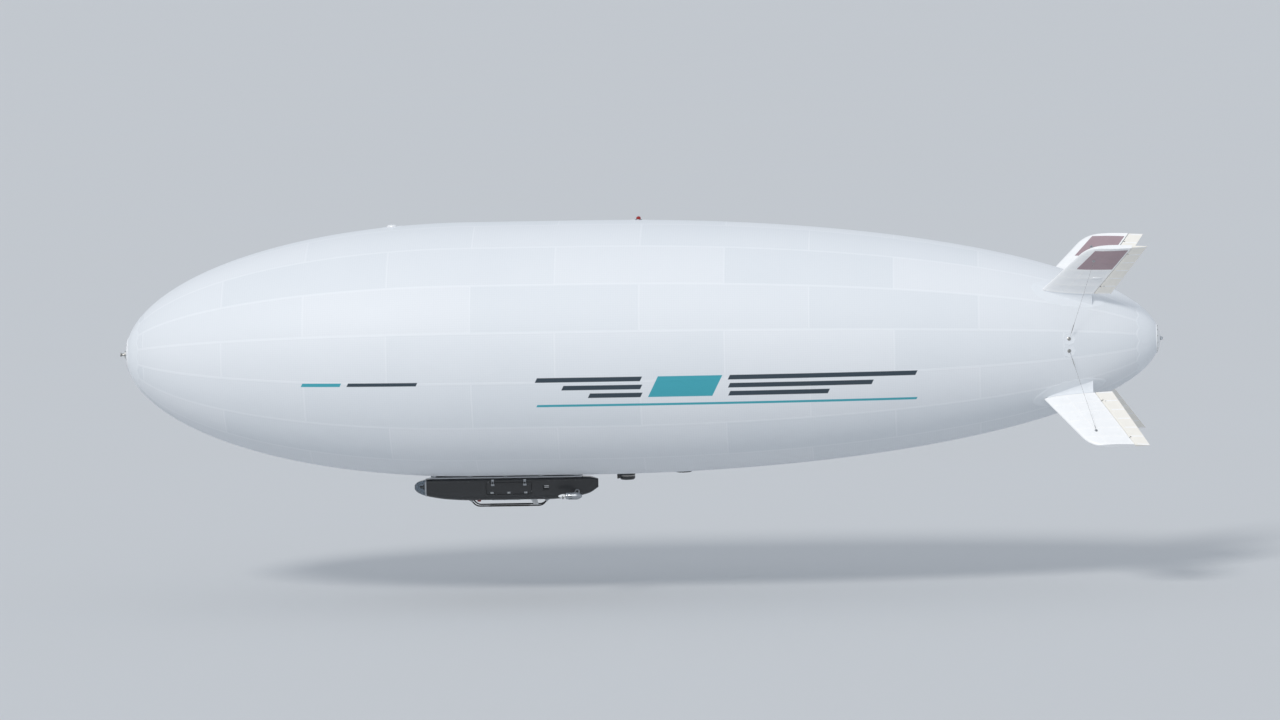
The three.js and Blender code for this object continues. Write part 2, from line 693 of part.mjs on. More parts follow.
function gondola() {
  const group = new THREE.Group();
  group.position.set(toX(GONDOLA_STATION), 0, -HULL_RADIUS);
  const hull = HULL_TOOL.translate([-toX(GONDOLA_STATION), 0, HULL_RADIUS]);
  group.add(
    mesh("keel_frame", cut(keelFrame(), hull), FINISH.alloy),
    mesh("gondola_shell", gondolaShell(), FINISH.composite),
    mesh("nose_window", noseWindow(), FINISH.clear),
    mesh("forward_camera", forwardCamera(), FINISH.dark),
    mesh("battery_pack", batteryPack(), FINISH.dark),
    mesh("cross_tube", crossTube(), FINISH.composite),
    mesh("payload_plate", payloadPlate(), FINISH.alloy),
    mesh("blade_antenna", bladeAntenna(), FINISH.white),
    mesh("belly_beacon", bellyBeacon(), FINISH.red),
  );
  for (const [side, sign] of Object.entries({ port: 1, starboard: -1 })) {
    group.add(
      mesh(`hatch_${side}`, hatchPanel(sign), FINISH.composite),
      mesh(`motor_pod_${side}`, motorPod(sign), FINISH.alloy),
      mesh(`propeller_${side}`, propeller(sign), FINISH.composite),
      mesh(`skid_${side}`, skid(sign), FINISH.composite),
    );
  }
  return group;
}

const airship = new THREE.Group();
airship.add(mesh("envelope", envelopeSolid(), FINISH.fabric));
airship.add(hullFittings(), roundFittings(), airBlower(), gondola());
for (const [place, angle] of Object.entries(FIN_ANGLES)) {
  airship.add(finAssembly(place, angle));
}

export default airship;
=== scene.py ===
"""Looks of a small unmanned helium airship, dressed over its fixed frame.

Metres, and mm() turns tables of millimetres into them. +X runs to the nose, +Y to port and +Z up.
The origin is on the hull's axis at the centre of buoyancy. Angles are in degrees, and those round
the hull are counted from the top, towards port.
"""

import logging
from collections.abc import Callable, Iterable, Sequence
from dataclasses import dataclass, field
from enum import Enum
from math import asin, ceil, cos, degrees, hypot, pi, radians, sin, sqrt
from typing import Self

import bmesh
import bpy
from mathutils import Matrix, Vector


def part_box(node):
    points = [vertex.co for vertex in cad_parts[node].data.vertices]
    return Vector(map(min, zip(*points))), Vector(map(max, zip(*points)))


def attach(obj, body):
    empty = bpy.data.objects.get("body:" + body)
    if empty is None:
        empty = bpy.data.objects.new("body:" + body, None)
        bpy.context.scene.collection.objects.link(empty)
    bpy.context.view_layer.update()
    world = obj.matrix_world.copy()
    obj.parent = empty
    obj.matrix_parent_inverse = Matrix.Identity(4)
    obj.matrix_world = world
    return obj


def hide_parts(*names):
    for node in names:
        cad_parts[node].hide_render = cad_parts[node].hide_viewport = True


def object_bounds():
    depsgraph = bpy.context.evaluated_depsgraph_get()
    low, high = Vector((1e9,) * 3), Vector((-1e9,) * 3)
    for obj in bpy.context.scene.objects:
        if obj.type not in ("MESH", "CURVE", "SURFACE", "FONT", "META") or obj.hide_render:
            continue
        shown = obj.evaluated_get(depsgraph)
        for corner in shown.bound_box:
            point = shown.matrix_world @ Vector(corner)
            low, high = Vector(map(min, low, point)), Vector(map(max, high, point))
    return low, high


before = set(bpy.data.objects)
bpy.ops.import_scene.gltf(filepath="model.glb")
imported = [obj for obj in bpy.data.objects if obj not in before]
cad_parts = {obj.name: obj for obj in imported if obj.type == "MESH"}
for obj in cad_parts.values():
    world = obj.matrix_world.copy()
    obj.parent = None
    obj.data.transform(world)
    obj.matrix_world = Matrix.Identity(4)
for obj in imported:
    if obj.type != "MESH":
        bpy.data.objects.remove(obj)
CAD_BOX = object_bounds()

LOG = logging.getLogger("airship")
MM = 0.001
AIRFRAME = "airframe"
SHARP_EDGE = radians(32)
Tree = bpy.types.NodeTree
Link = bpy.types.NodeSocket | bpy.types.Node
Row = Sequence[float]
Marks = tuple[Link, Link, list[tuple[str, Link]]]


class Slot(Enum):
    """The record's material slots."""

    FABRIC = "envelope_fabric"
    FIN = "fin_skin"
    WHITE = "white_laminate"
    CARBON = "carbon_laminate"
    ALLOY = "alloy"
    STEEL = "steel"
    WINDOW = "smoked_acrylic"
    PLASTIC = "black_plastic"
    BATTERY = "battery_case"
    RED = "red_lens"
    CLEAR = "clear_lens"


class Paint(Enum):
    """The flank lines' two paints."""

    SLATE = "#33414C"
    TEAL = "#3FA3B2"


class Side(Enum):
    """The two sides. What comes in pairs is made to port."""

    PORT = "port"
    STARBOARD = "starboard"

    @property
    def turn(self) -> Matrix:
        """Turns what is made to port to this side, by a mirror image to starboard."""
        return Matrix.Scale(1 if self is Side.PORT else -1, 4, PORT)


def linear(colour: str) -> tuple[float, float, float, float]:
    """Turns an sRGB hex colour to linear.

    Args:
        colour: six hex digits after a hash sign.

    Returns:
        Linear red, green, blue and an alpha of one.
    """
    parts = [int(colour[i : i + 2], 16) / 255 for i in (1, 3, 5)]
    values = [c / 12.92 if c <= 0.04045 else ((c + 0.055) / 1.055) ** 2.4 for c in parts]
    return (values[0], values[1], values[2], 1.0)


def add(tree: Tree, kind: str, inputs: dict | Sequence = (), **settings: object) -> bpy.types.Node:
    """Adds a node with its settings and links.

    Args:
        tree: the node tree that gets it.
        kind: the node's type, after the word ShaderNode.
        inputs: a value, a socket or a node for each input, in order or by name or number.
        settings: the node's own fields.

    Returns:
        The new node.
    """
    node = tree.nodes.new("ShaderNode" + kind)
    for name, value in settings.items():
        setattr(node, name, value)
    named = inputs if isinstance(inputs, dict) else dict(enumerate(inputs))
    for name, value in named.items():
        if isinstance(value, bpy.types.Node):
            value = value.outputs[0]
        if isinstance(value, bpy.types.NodeSocket):
            tree.links.new(value, node.inputs[name])
        else:
            node.inputs[name].default_value = value
    return node


def band(tree: Tree, value: Link, middle: float, half: float, soft: float) -> Link:
    """Makes a mask that is 1 near a middle value.

    Args:
        tree: the node tree.
        value: what is tested.
        middle: the middle of the band.
        half: half of its width.
        soft: the width of its edges.

    Returns:
        The mask.
    """
    offset = add(tree, "Math", (value, middle), operation="SUBTRACT")
    away = add(tree, "Math", (offset,), operation="ABSOLUTE")
    ends = {"Value": away, "From Min": half + soft, "From Max": half - soft}
    return add(tree, "MapRange", ends, interpolation_type="SMOOTHSTEP")


@dataclass(frozen=True)
class Finish:
    """A material named for what the real one is. Subclasses add the marks of how it was made."""

    name: str
    slot: Slot | None
    colour: str
    second: str
    roughness: float
    metallic: float = 0.0
    ior: float = 1.5
    coat: float = 0.0
    coat_roughness: float = 0.1
    sheen: float = 0.0
    transmission: float = 0.0
    mottle_mm: float = 400.0
    roughness_swing: float = 0.06
    bump_mm: float = 0.3

    def make(self) -> bpy.types.Material:
        """Builds the material once.

        Returns:
            The material, the same one at each call.
        """
        known = bpy.data.materials.get(self.name)
        if known:
            return known
        material = bpy.data.materials.new(self.name)
        material.use_nodes = True
        tree = material.node_tree
        tree.nodes.clear()
        place = add(tree, "TexCoord").outputs["Object"]
        drift = {"Vector": place, "Scale": 1 / (self.mottle_mm * MM), "Detail": 5.0, "Roughness": 0.6}
        noise = add(tree, "TexNoise", drift)
        share, height, layers = self.pattern(tree, place, noise)
        colour = linear(self.colour)
        for tone, mask in ((self.second, share), *layers):
            coats = {0: mask, 6: colour, 7: linear(tone)}
            colour = add(tree, "Mix", coats, data_type="RGBA").outputs[2]
        swing = {"From Min": 0.3, "From Max": 0.7, "To Min": self.roughness - self.roughness_swing,
                 "To Max": self.roughness + self.roughness_swing}
        relief = {"Height": height, "Distance": self.bump_mm * MM, "Strength": 1.0}
        surface = {
            "Base Color": colour,
            "Roughness": add(tree, "MapRange", {"Value": noise, **swing}),
            "Normal": add(tree, "Bump", relief),
            "Metallic": self.metallic,
            "Coat Weight": self.coat,
            "Coat Roughness": self.coat_roughness,
            "Sheen Weight": self.sheen,
            "Transmission Weight": self.transmission,
        }
        if self.metallic < 0.5:
            surface["IOR"] = self.ior
        add(tree, "OutputMaterial", {"Surface": add(tree, "BsdfPrincipled", surface)})
        return material

    def pattern(self, tree: Tree, place: Link, noise: Link) -> Marks:
        """The second colour's share, the fine height, and further colours with their masks."""
        return noise, noise, []


@dataclass(frozen=True)
class Livery:
    """Plain straight speed lines along the flank, in dark slate and teal, with slanted ends."""

    slant: float = 0.5
    edge: float = 0.006
    # Columns: rear end, front end, lower edge, upper edge, paint
    bars: tuple = (
        (-5.30, -2.10, -0.43, -0.35, Paint.SLATE),
        (-4.55, -2.10, -0.57, -0.49, Paint.SLATE),
        (-3.80, -2.10, -0.71, -0.63, Paint.SLATE),
        (-1.90, -0.80, -0.71, -0.35, Paint.TEAL),
        (-0.60, 1.20, -0.43, -0.35, Paint.SLATE),
        (-0.60, 0.75, -0.57, -0.49, Paint.SLATE),
        (-0.60, 0.30, -0.71, -0.63, Paint.SLATE),
        (-5.30, 1.20, -0.86, -0.82, Paint.TEAL),
        (3.25, 4.45, -0.46, -0.40, Paint.SLATE),
        (4.57, 5.25, -0.46, -0.40, Paint.TEAL),
    )

    def layers(self, tree: Tree, axes: Sequence[Link]) -> list[tuple[str, Link]]:
        """Draws the lines.

        Args:
            tree: the node tree.
            axes: the point's three coordinates.

        Returns:
            Each line's colour and mask.
        """
        leaning = add(tree, "Math", (axes[2], self.slant, axes[0]), operation="MULTIPLY_ADD")
        made = []
        for rear, front, low, high, paint in self.bars:
            height = (low + high) / 2
            middle = (rear + front) / 2 + self.slant * height
            across = band(tree, leaning, middle, (front - rear) / 2, self.edge)
            level = band(tree, axes[2], height, (high - low) / 2, self.edge)
            made.append((paint.value, add(tree, "Math", (across, level), operation="MULTIPLY")))
        return made


@dataclass(frozen=True)
class CoatedNylon(Finish):
    """Polyurethane-coated ripstop nylon in welded gores: satin, with faint tapes on the seams."""

    gores: int = 16
    tape_mm: float = 40.0
    panel_m: float = 2.9
    ripstop_mm: float = 40.0
    widest_m: float = 2.208
    thread_tone: str = "#C2CAD3"
    tape_tone: str = "#EEF1F5"

    def pattern(self, tree: Tree, place: Link, noise: Link) -> Marks:
        """Cloth from several rolls, its slack, the tapes, the ripstop grid and the livery.

        The grid's real pitch is 5 mm, too fine to show from outside. It is drawn at 40 mm.

        Args:
            tree: the node tree.
            place: the point on the hull.
            noise: the slow drift of its tone.

        Returns:
            The second colour's share, the fine height, and further colours with their masks.
        """
        axes = add(tree, "SeparateXYZ", (place,)).outputs
        turn = add(tree, "Math", (axes[1], axes[2]), operation="ARCTAN2")
        gore = 2 * pi / self.gores
        flat = add(tree, "VectorMath", (place, (0.0, 1.0, 1.0)), operation="MULTIPLY")
        radius = add(tree, "VectorMath", (flat,), operation="LENGTH").outputs["Value"]
        wide = add(tree, "Math", (radius, gore), operation="MULTIPLY")
        count = add(tree, "Math", (turn, 1 / gore, 40.5), operation="MULTIPLY_ADD")
        number = add(tree, "Math", (count,), operation="FLOOR")
        odd = add(tree, "Math", (number, 2.0), operation="MODULO")
        stagger = add(tree, "Math", (odd, 0.5, 20.7), operation="MULTIPLY_ADD")
        joint = add(tree, "Math", (axes[0], 1 / self.panel_m, stagger), operation="MULTIPLY_ADD")
        tapes = []
        for steps, pitch, half in ((count, wide, self.tape_mm / 2), (joint, self.panel_m, self.tape_mm / 3)):
            near = add(tree, "Math", (steps, 0.5), operation="PINGPONG")
            reach = add(tree, "Math", (near, pitch), operation="MULTIPLY")
            tapes.append(band(tree, reach, 0.0, half * MM, 2 * MM))
        tape = add(tree, "Math", tapes, operation="MAXIMUM")
        lines = []
        for value, size in ((axes[0], 1.0), (turn, self.widest_m)):
            part = add(tree, "Math", (value, size / (self.ripstop_mm * MM), 0.5), operation="MULTIPLY_ADD")
            near = add(tree, "Math", (part, 0.5), operation="PINGPONG")
            lines.append(band(tree, near, 0.0, 0.06, 0.06))
        grid = add(tree, "Math", lines, operation="MAXIMUM")
        panel = add(tree, "Math", (joint,), operation="FLOOR")
        key = add(tree, "CombineXYZ", (number, panel))
        roll = add(tree, "TexWhiteNoise", {"Vector": key}, noise_dimensions="3D")
        faint = add(tree, "Math", (noise, 0.45), operation="MULTIPLY")
        share = add(tree, "Math", (roll, 0.55, faint), operation="MULTIPLY_ADD")
        slack = add(tree, "TexNoise", {"Vector": place, "Scale": 1.6, "Detail": 2.0})
        low_grid = add(tree, "Math", (grid, 0.06), operation="MULTIPLY")
        cloth = add(tree, "Math", (slack, 2.0, low_grid), operation="MULTIPLY_ADD")
        height = add(tree, "Math", (tape, 0.3, cloth), operation="MULTIPLY_ADD")
        threads = add(tree, "Math", (grid, 0.16), operation="MULTIPLY")
        shine = add(tree, "Math", (tape, 0.35), operation="MULTIPLY")
        marks = [(self.thread_tone, threads), (self.tape_tone, shine)]
        return share, height, marks + Livery().layers(tree, axes)


@dataclass(frozen=True)
class WovenCloth(Finish):
    """Woven cloth or webbing: two crossed sets of threads under a thin coating."""

    thread_mm: float = 6.0
    runs: tuple = ((1.0, 0.0, 0.35), (0.0, 1.0, 0.35))
    wave: float = 0.314
    thread_share: float = 0.5

    def pattern(self, tree: Tree, place: Link, noise: Link) -> Marks:
        """The crossed threads, drawn some ten times coarser than the real ones so that they show.

        Args:
            tree: the node tree.
            place: the point on the piece.
            noise: the slow drift of its tone.

        Returns:
            The second colour's share, the threads' height, and no further colours.
        """
        sets = []
        for run in self.runs:
            along = add(tree, "Mapping", {"Vector": place, "Scale": run})
            stripes = {"Vector": along, "Scale": self.wave / (self.thread_mm * MM)}
            sets.append(add(tree, "TexWave", stripes, bands_direction="DIAGONAL").outputs["Fac"])
        threads = add(tree, "Math", sets, operation="MULTIPLY")
        rest = add(tree, "Math", (noise, 1 - self.thread_share), operation="MULTIPLY")
        share = add(tree, "Math", (threads, self.thread_share, rest), operation="MULTIPLY_ADD")
        return share, threads, []


@dataclass(frozen=True)
class TwillCarbon(WovenCloth):
    """Carbon twill in clear resin: slanted tows of 2 mm, drawn coarser, that catch the light."""

    thread_mm: float = 9.0
    runs: tuple = ((1.0, 1.0, 1.0), (1.0, -1.0, -1.0))
    wave: float = 0.18
    thread_share: float = 1.0


@dataclass(frozen=True)
class ShrunkFilm(Finish):
    """Heat-shrunk polyester film over a rib frame: bright and smooth, in two close whites."""

    def pattern(self, tree: Tree, place: Link, noise: Link) -> Marks:
        """A finer drift over the slow one, so that the film isn't one flat tone."""
        fine = add(tree, "TexNoise", {"Vector": place, "Scale": 11.0, "Detail": 3.0})
        return add(tree, "Math", (fine, noise), operation="MULTIPLY"), noise, []


@dataclass(frozen=True)
class GrainedMetal(Finish):
    """Metal with fine drawn or machined lines along one axis."""

    line_mm: float = 1.2
    along: tuple = (1.0, 0.05, 1.0)

    def pattern(self, tree: Tree, place: Link, noise: Link) -> Marks:
        """Fine lines, stretched along the drawn axis.

        Args:
            tree: the node tree.
            place: the point on the piece.
            noise: the slow drift of its tone.

        Returns:
            The second colour's share, the lines' height, and no further colours.
        """
        drawn = add(tree, "Mapping", {"Vector": place, "Scale": self.along})
        lines = {"Vector": drawn, "Scale": 1 / (self.line_mm * MM), "Detail": 2.0}
        return noise, add(tree, "TexNoise", lines), []


# Satin white with a blue cast; the tapes and slack in the cloth break its soft highlight.
HULL_FABRIC = CoatedNylon(
    "coated ripstop nylon, welded gores", Slot.FABRIC, "#DCE1E6", "#E6E9ED", 0.58, ior=1.45, coat=0.05,
    coat_roughness=0.55, sheen=0.08, mottle_mm=1400, roughness_swing=0.05, bump_mm=3.0,
)
# The same cloth where it is cut into patches and skirts, a shade whiter for being double.
PATCH_FABRIC = WovenCloth(
    "coated nylon, doubled patch", Slot.FABRIC, "#E1E6EB", "#EAEDF1", 0.55, sheen=0.1, mottle_mm=220,
    bump_mm=0.35, thread_mm=8,
)
# Brilliant white film, smoother than the hull's cloth, so that the fins read brighter.
FIN_FILM = ShrunkFilm(
    "polyester film, heat shrunk", Slot.FIN, "#F6F7F8", "#E9EBED", 0.3, coat=0.25, coat_roughness=0.2,
    mottle_mm=500, bump_mm=0.4,
)
# A slightly warmer white for the moving surfaces beside the fins.
SURFACE_FILM = ShrunkFilm(
    "polyester film, warm white", Slot.FIN, "#F3F0E9", "#E8E4DB", 0.34, coat=0.2, coat_roughness=0.2,
    bump_mm=0.4,
)
# Tape of the same film, doubled and so a little denser.
TAPE_FILM = ShrunkFilm(
    "polyester film tape", Slot.FIN, "#FBFBFB", "#EFF0F1", 0.26, coat=0.3, coat_roughness=0.15,
    mottle_mm=90, bump_mm=0.1,
)
# A duskier mauve-grey film for the plain panels near the tips of the upper fins.
DUSK_FILM = ShrunkFilm(
    "polyester film, dusky mauve", Slot.FIN, "#A18B92", "#AE999F", 0.34, coat=0.2, mottle_mm=120,
)
# Polished gelcoat over glass fibre: hard white with a soft gloss.
GELCOAT = Finish(
    "gelcoat on glass fibre, polished", Slot.WHITE, "#EDEFF1", "#E2E5E8", 0.24, coat=0.4, mottle_mm=90,
    bump_mm=0.1,
)
# Clear-coated twill, dark enough to sink into the shade under the hull.
CARBON = TwillCarbon(
    "carbon twill, clear coated", Slot.CARBON, "#141619", "#2A2D32", 0.34, coat=0.5, coat_roughness=0.12,
    mottle_mm=60, bump_mm=0.15,
)
# Plain unidirectional tube, satin from its peel ply.
CARBON_TUBE = TwillCarbon(
    "carbon tube, peel-ply satin", Slot.CARBON, "#17191C", "#24272B", 0.46, mottle_mm=30, bump_mm=0.1,
    thread_mm=5,
)
# Clear anodised aluminium, drawn, so that its gloss runs along the rails.
ALLOY = GrainedMetal(
    "aluminium, drawn and anodised", Slot.ALLOY, "#B4B8BC", "#A4A8AD", 0.34, metallic=1.0, mottle_mm=25,
    bump_mm=0.05,
)
# Turned stainless steel, brighter than the anodised parts.
STEEL = GrainedMetal(
    "stainless steel, turned", Slot.STEEL, "#B9B8B5", "#A8A7A4", 0.26, metallic=1.0, mottle_mm=12,
    bump_mm=0.03, line_mm=0.8,
)
# Moulded ABS with a fine spark-eroded grain that keeps it matt.
ABS = Finish(
    "ABS, moulded with grain", Slot.PLASTIC, "#1B1C1E", "#232427", 0.55, mottle_mm=2.5, bump_mm=0.12,
)
# The same plastic in pale grey, on the bulkhead behind the camera, so that the camera shows.
PALE_ABS = Finish(
    "ABS, moulded pale grey", Slot.PLASTIC, "#B9BCBE", "#AEB2B5", 0.5, mottle_mm=3, bump_mm=0.1,
)
# White nylon webbing, ribbed by its weave.
WEBBING = WovenCloth(
    "nylon webbing, woven", Slot.FABRIC, "#E8EAEC", "#D5D9DD", 0.7, sheen=0.3, mottle_mm=60, bump_mm=0.5,
    thread_mm=4,
)
# Powder-coated battery case, slightly orange-peeled.
POWDER = Finish(
    "powder coat on steel", Slot.BATTERY, "#2B2E32", "#34373B", 0.5, mottle_mm=4, bump_mm=0.1,
)
# Neoprene for sleeves and seals, matt and a little dusty.
NEOPRENE = Finish(
    "neoprene, moulded", Slot.PLASTIC, "#141414", "#222120", 0.75, mottle_mm=10, bump_mm=0.2,
)
# Smoked acrylic of the nose window, thermoformed and clear enough to show the camera.
SMOKED = Finish(
    "acrylic, thermoformed and smoked", Slot.WINDOW, "#A7B0B8", "#9FA9B2", 0.05, ior=1.49, mottle_mm=300,
    roughness_swing=0.02, bump_mm=0.02, transmission=0.96,
)
# Ribbed polycarbonate beacon lens, red in the mass.
RED_LENS = Finish(
    "polycarbonate, moulded red", Slot.RED, "#C3201B", "#A81812", 0.12, ior=1.58, mottle_mm=20,
    bump_mm=0.05, transmission=0.45,
)
# The same plastic, clear, on the tail light and the camera's lens.
CLEAR_LENS = Finish(
    "polycarbonate, moulded clear", Slot.CLEAR, "#E3E8EC", "#D8DEE3", 0.08, ior=1.58, mottle_mm=20,
    bump_mm=0.03, transmission=0.7,
)


def mm(*rows: Row) -> list[tuple[float, ...]]:
    """Turns rows of millimetres to metres."""
    return [tuple(value * MM for value in row) for row in rows]


def between(start: Row, end: Row, part: float) -> list[float]:
    """Goes a part of the way from one row of numbers to another."""
    return [a + (b - a) * part for a, b in zip(start, end)]


def shift(x: float, y: float, z: float) -> Matrix:
    """A place moved along the axes."""
    return Matrix.Translation((x, y, z))


def spin(angle: float, axis: str = "Z") -> Matrix:
    """A place turned about one axis."""
    return Matrix.Rotation(radians(angle), 4, axis)


DOWN = spin(180, "X")
PORT = (0, 1, 0)


def aim(origin: Row, heading: Row, side: Row = ()) -> Matrix:
    """A place whose Z axis runs along a heading.

    Args:
        origin: its origin.
        heading: the direction of its Z axis.
        side: a direction near its X axis, if that matters.

    Returns:
        The place's matrix.
    """
    up = Vector(heading).normalized()
    near = Vector(side) if len(side) else up.orthogonal()
    across = (near - up * near.dot(up)).normalized()
    turn = Matrix((across, up.cross(across), up)).transposed().to_4x4()
    return Matrix.Translation(Vector(origin)) @ turn


def circle(place: Matrix, count: int, ring: float, height: float, start: float = 0.5) -> list[Matrix]:
    """Places spread round a circle, with X pointing outwards. The first is start steps round."""
    turns = [spin(360 * (i + start) / count) for i in range(count)]
    return [place @ turn @ shift(ring, 0, height) for turn in turns]


def crossings(xs: Row, ys: Row, z: float) -> list[Matrix]:
    """Places where two rows cross at one height, facing down."""
    return [shift(x, y, z) @ DOWN for x in xs for y in ys]


def round_loop(loop: Sequence[Vector], count: int) -> list[Matrix]:
    """Places spread evenly round a closed loop across the X axis.

    Args:
        loop: the loop's points, counted from port over the top.
        count: how many.

    Returns:
        The places, with Z pointing outwards.
    """
    steps = list(zip(loop, [*loop[1:], loop[0]]))
    pitch = sum((b - a).length for a, b in steps) / count
    places = []
    ahead = pitch / 2
    for a, b in steps:
        run = b - a
        while ahead <= run.length:
            places.append(aim(a + run * (ahead / run.length), run.cross(Vector((1, 0, 0)))))
            ahead += pitch
        ahead -= run.length
    return places


def bend(*ends: Row) -> list[tuple[float, ...]]:
    """Points of a soft bend, from its start, the corner that it rounds off and its end."""
    weights = [((1 - t) ** 2, 2 * t * (1 - t), t * t) for t in (i / 12 for i in range(13))]
    return [tuple(sum(w * p for w, p in zip(row, axis)) for axis in zip(*ends)) for row in weights]


def aerofoil(part: float, tail: float) -> float:
    """Half thickness at a part of the chord of a symmetric section; tail shuts its trailing edge."""
    return 0.2969 * sqrt(part) - 0.126 * part - 0.3516 * part**2 + 0.2843 * part**3 - tail * part**4


def rounded(low: Row, high: Row, upper: float, lower: float, steps: int = 9) -> list[tuple[float, float]]:
    """A rectangle with round corners, counted round from the high side's middle.

    Args:
        low: its lowest corner.
        high: its highest corner.
        upper: radius of the upper corners.
        lower: radius of the lower corners.
        steps: steps in each corner; one step cuts it straight.

    Returns:
        The outline's points.
    """
    middles = (
        (high[0] - upper, high[1] - upper, upper),
        (low[0] + upper, high[1] - upper, upper),
        (low[0] + lower, low[1] + lower, lower),
        (high[0] - lower, low[1] + lower, lower),
    )
    points = []
    for quarter, (across, up, radius) in enumerate(middles):
        for i in range(steps + 1):
            a = radians(90 * quarter + 90 * i / steps)
            points.append((across + radius * cos(a), up + radius * sin(a)))
    return points


def ring_across(row: Row, out: float = 0.0) -> list[Vector]:
    """A ring with round corners across the X axis.

    Args:
        row: place along X, half width, top, underside, upper corner, lower corner.
        out: how far the ring stands out from that.

    Returns:
        The ring's points.
    """
    x, half, top, bottom, upper, lower = row
    corners = [max(corner + out, 0.008) for corner in (upper, lower)]
    plan = rounded((-half - out, bottom - out), (half + out, top + out), *corners)
    return [Vector((x, y, z)) for y, z in plan]


def slab(low: Row, high: Row, corner: float, inner: float, outer: float) -> list[list[Vector]]:
    """Two rings of a flat slab across the Y axis, with round corners, from inner to outer."""
    plan = rounded(low, high, corner, corner, 6)
    return [[Vector((x, y, z)) for x, z in plan] for y in (inner, outer)]


def lobed(
    long: float, wide: float, lobe: float, count: int, wave: Callable[[float], float] = float
) -> Callable[[float], float]:
    """The edge of an oval patch, with lobes.

    Args:
        long: half of its length.
        wide: half of its width.
        lobe: how far the lobes stand out.
        count: how many waves there are round the edge.
        wave: what is done to the wave; abs makes scallops.

    Returns:
        The edge's distance from the middle, by direction in radians.
    """

    def edge(a: float) -> float:
        """The distance in one direction."""
        oval = long * wide / hypot(wide * cos(a), long * sin(a))
        return oval + lobe * wave(cos(count * a))

    return edge


def tape_section(crown: float) -> list[tuple[float, float]]:
    """A film tape's section: side from -1 to 1 and height, flat over a part of its width."""
    return [(-1, -0.001), (1, -0.001), (1, 0.0004), (crown, 0.0008), (-crown, 0.0008), (-1, 0.0004)]


def smooth_rows(rows: Sequence[Row], steps: int) -> list[list[float]]:
    """Fills in a table of rows with soft curves that never overshoot.

    Args:
        rows: rows whose first column runs one way.
        steps: steps between two rows.

    Returns:
        The filled-in rows.
    """
    keys = [row[0] for row in rows]
    gaps = [b - a for a, b in zip(keys, keys[1:])]
    columns = []
    for column in zip(*rows):
        slopes = [(b - a) / gap for a, b, gap in zip(column, column[1:], gaps)]
        between = [0.0 if a * b <= 0 else 2 * a * b / (a + b) for a, b in zip(slopes, slopes[1:])]
        tangents = [slopes[0], *between, slopes[-1]]
        values = []
        for i, gap in enumerate(gaps):
            for t in (k / steps for k in range(steps)):
                blend = 3 * t**2 - 2 * t**3
                lead, lag = t**3 - 2 * t**2 + t, t**3 - t**2
                ends = (1 - blend) * column[i] + blend * column[i + 1]
                values.append(ends + gap * (lead * tangents[i] + lag * tangents[i + 1]))
        columns.append([*values, column[-1]])
    return [list(row) for row in zip(*columns)]


def settle(piece: bpy.types.Object) -> None:
    """Points a piece's faces outwards and shades it smooth between sharp edges.

    Args:
        piece: the object.
    """
    work = bmesh.new()
    work.from_mesh(piece.data)
    bmesh.ops.recalc_face_normals(work, faces=work.faces)
    work.to_mesh(piece.data)
    work.free()
    piece.data.shade_smooth()
    piece.data.set_sharp_from_angle(angle=SHARP_EDGE)


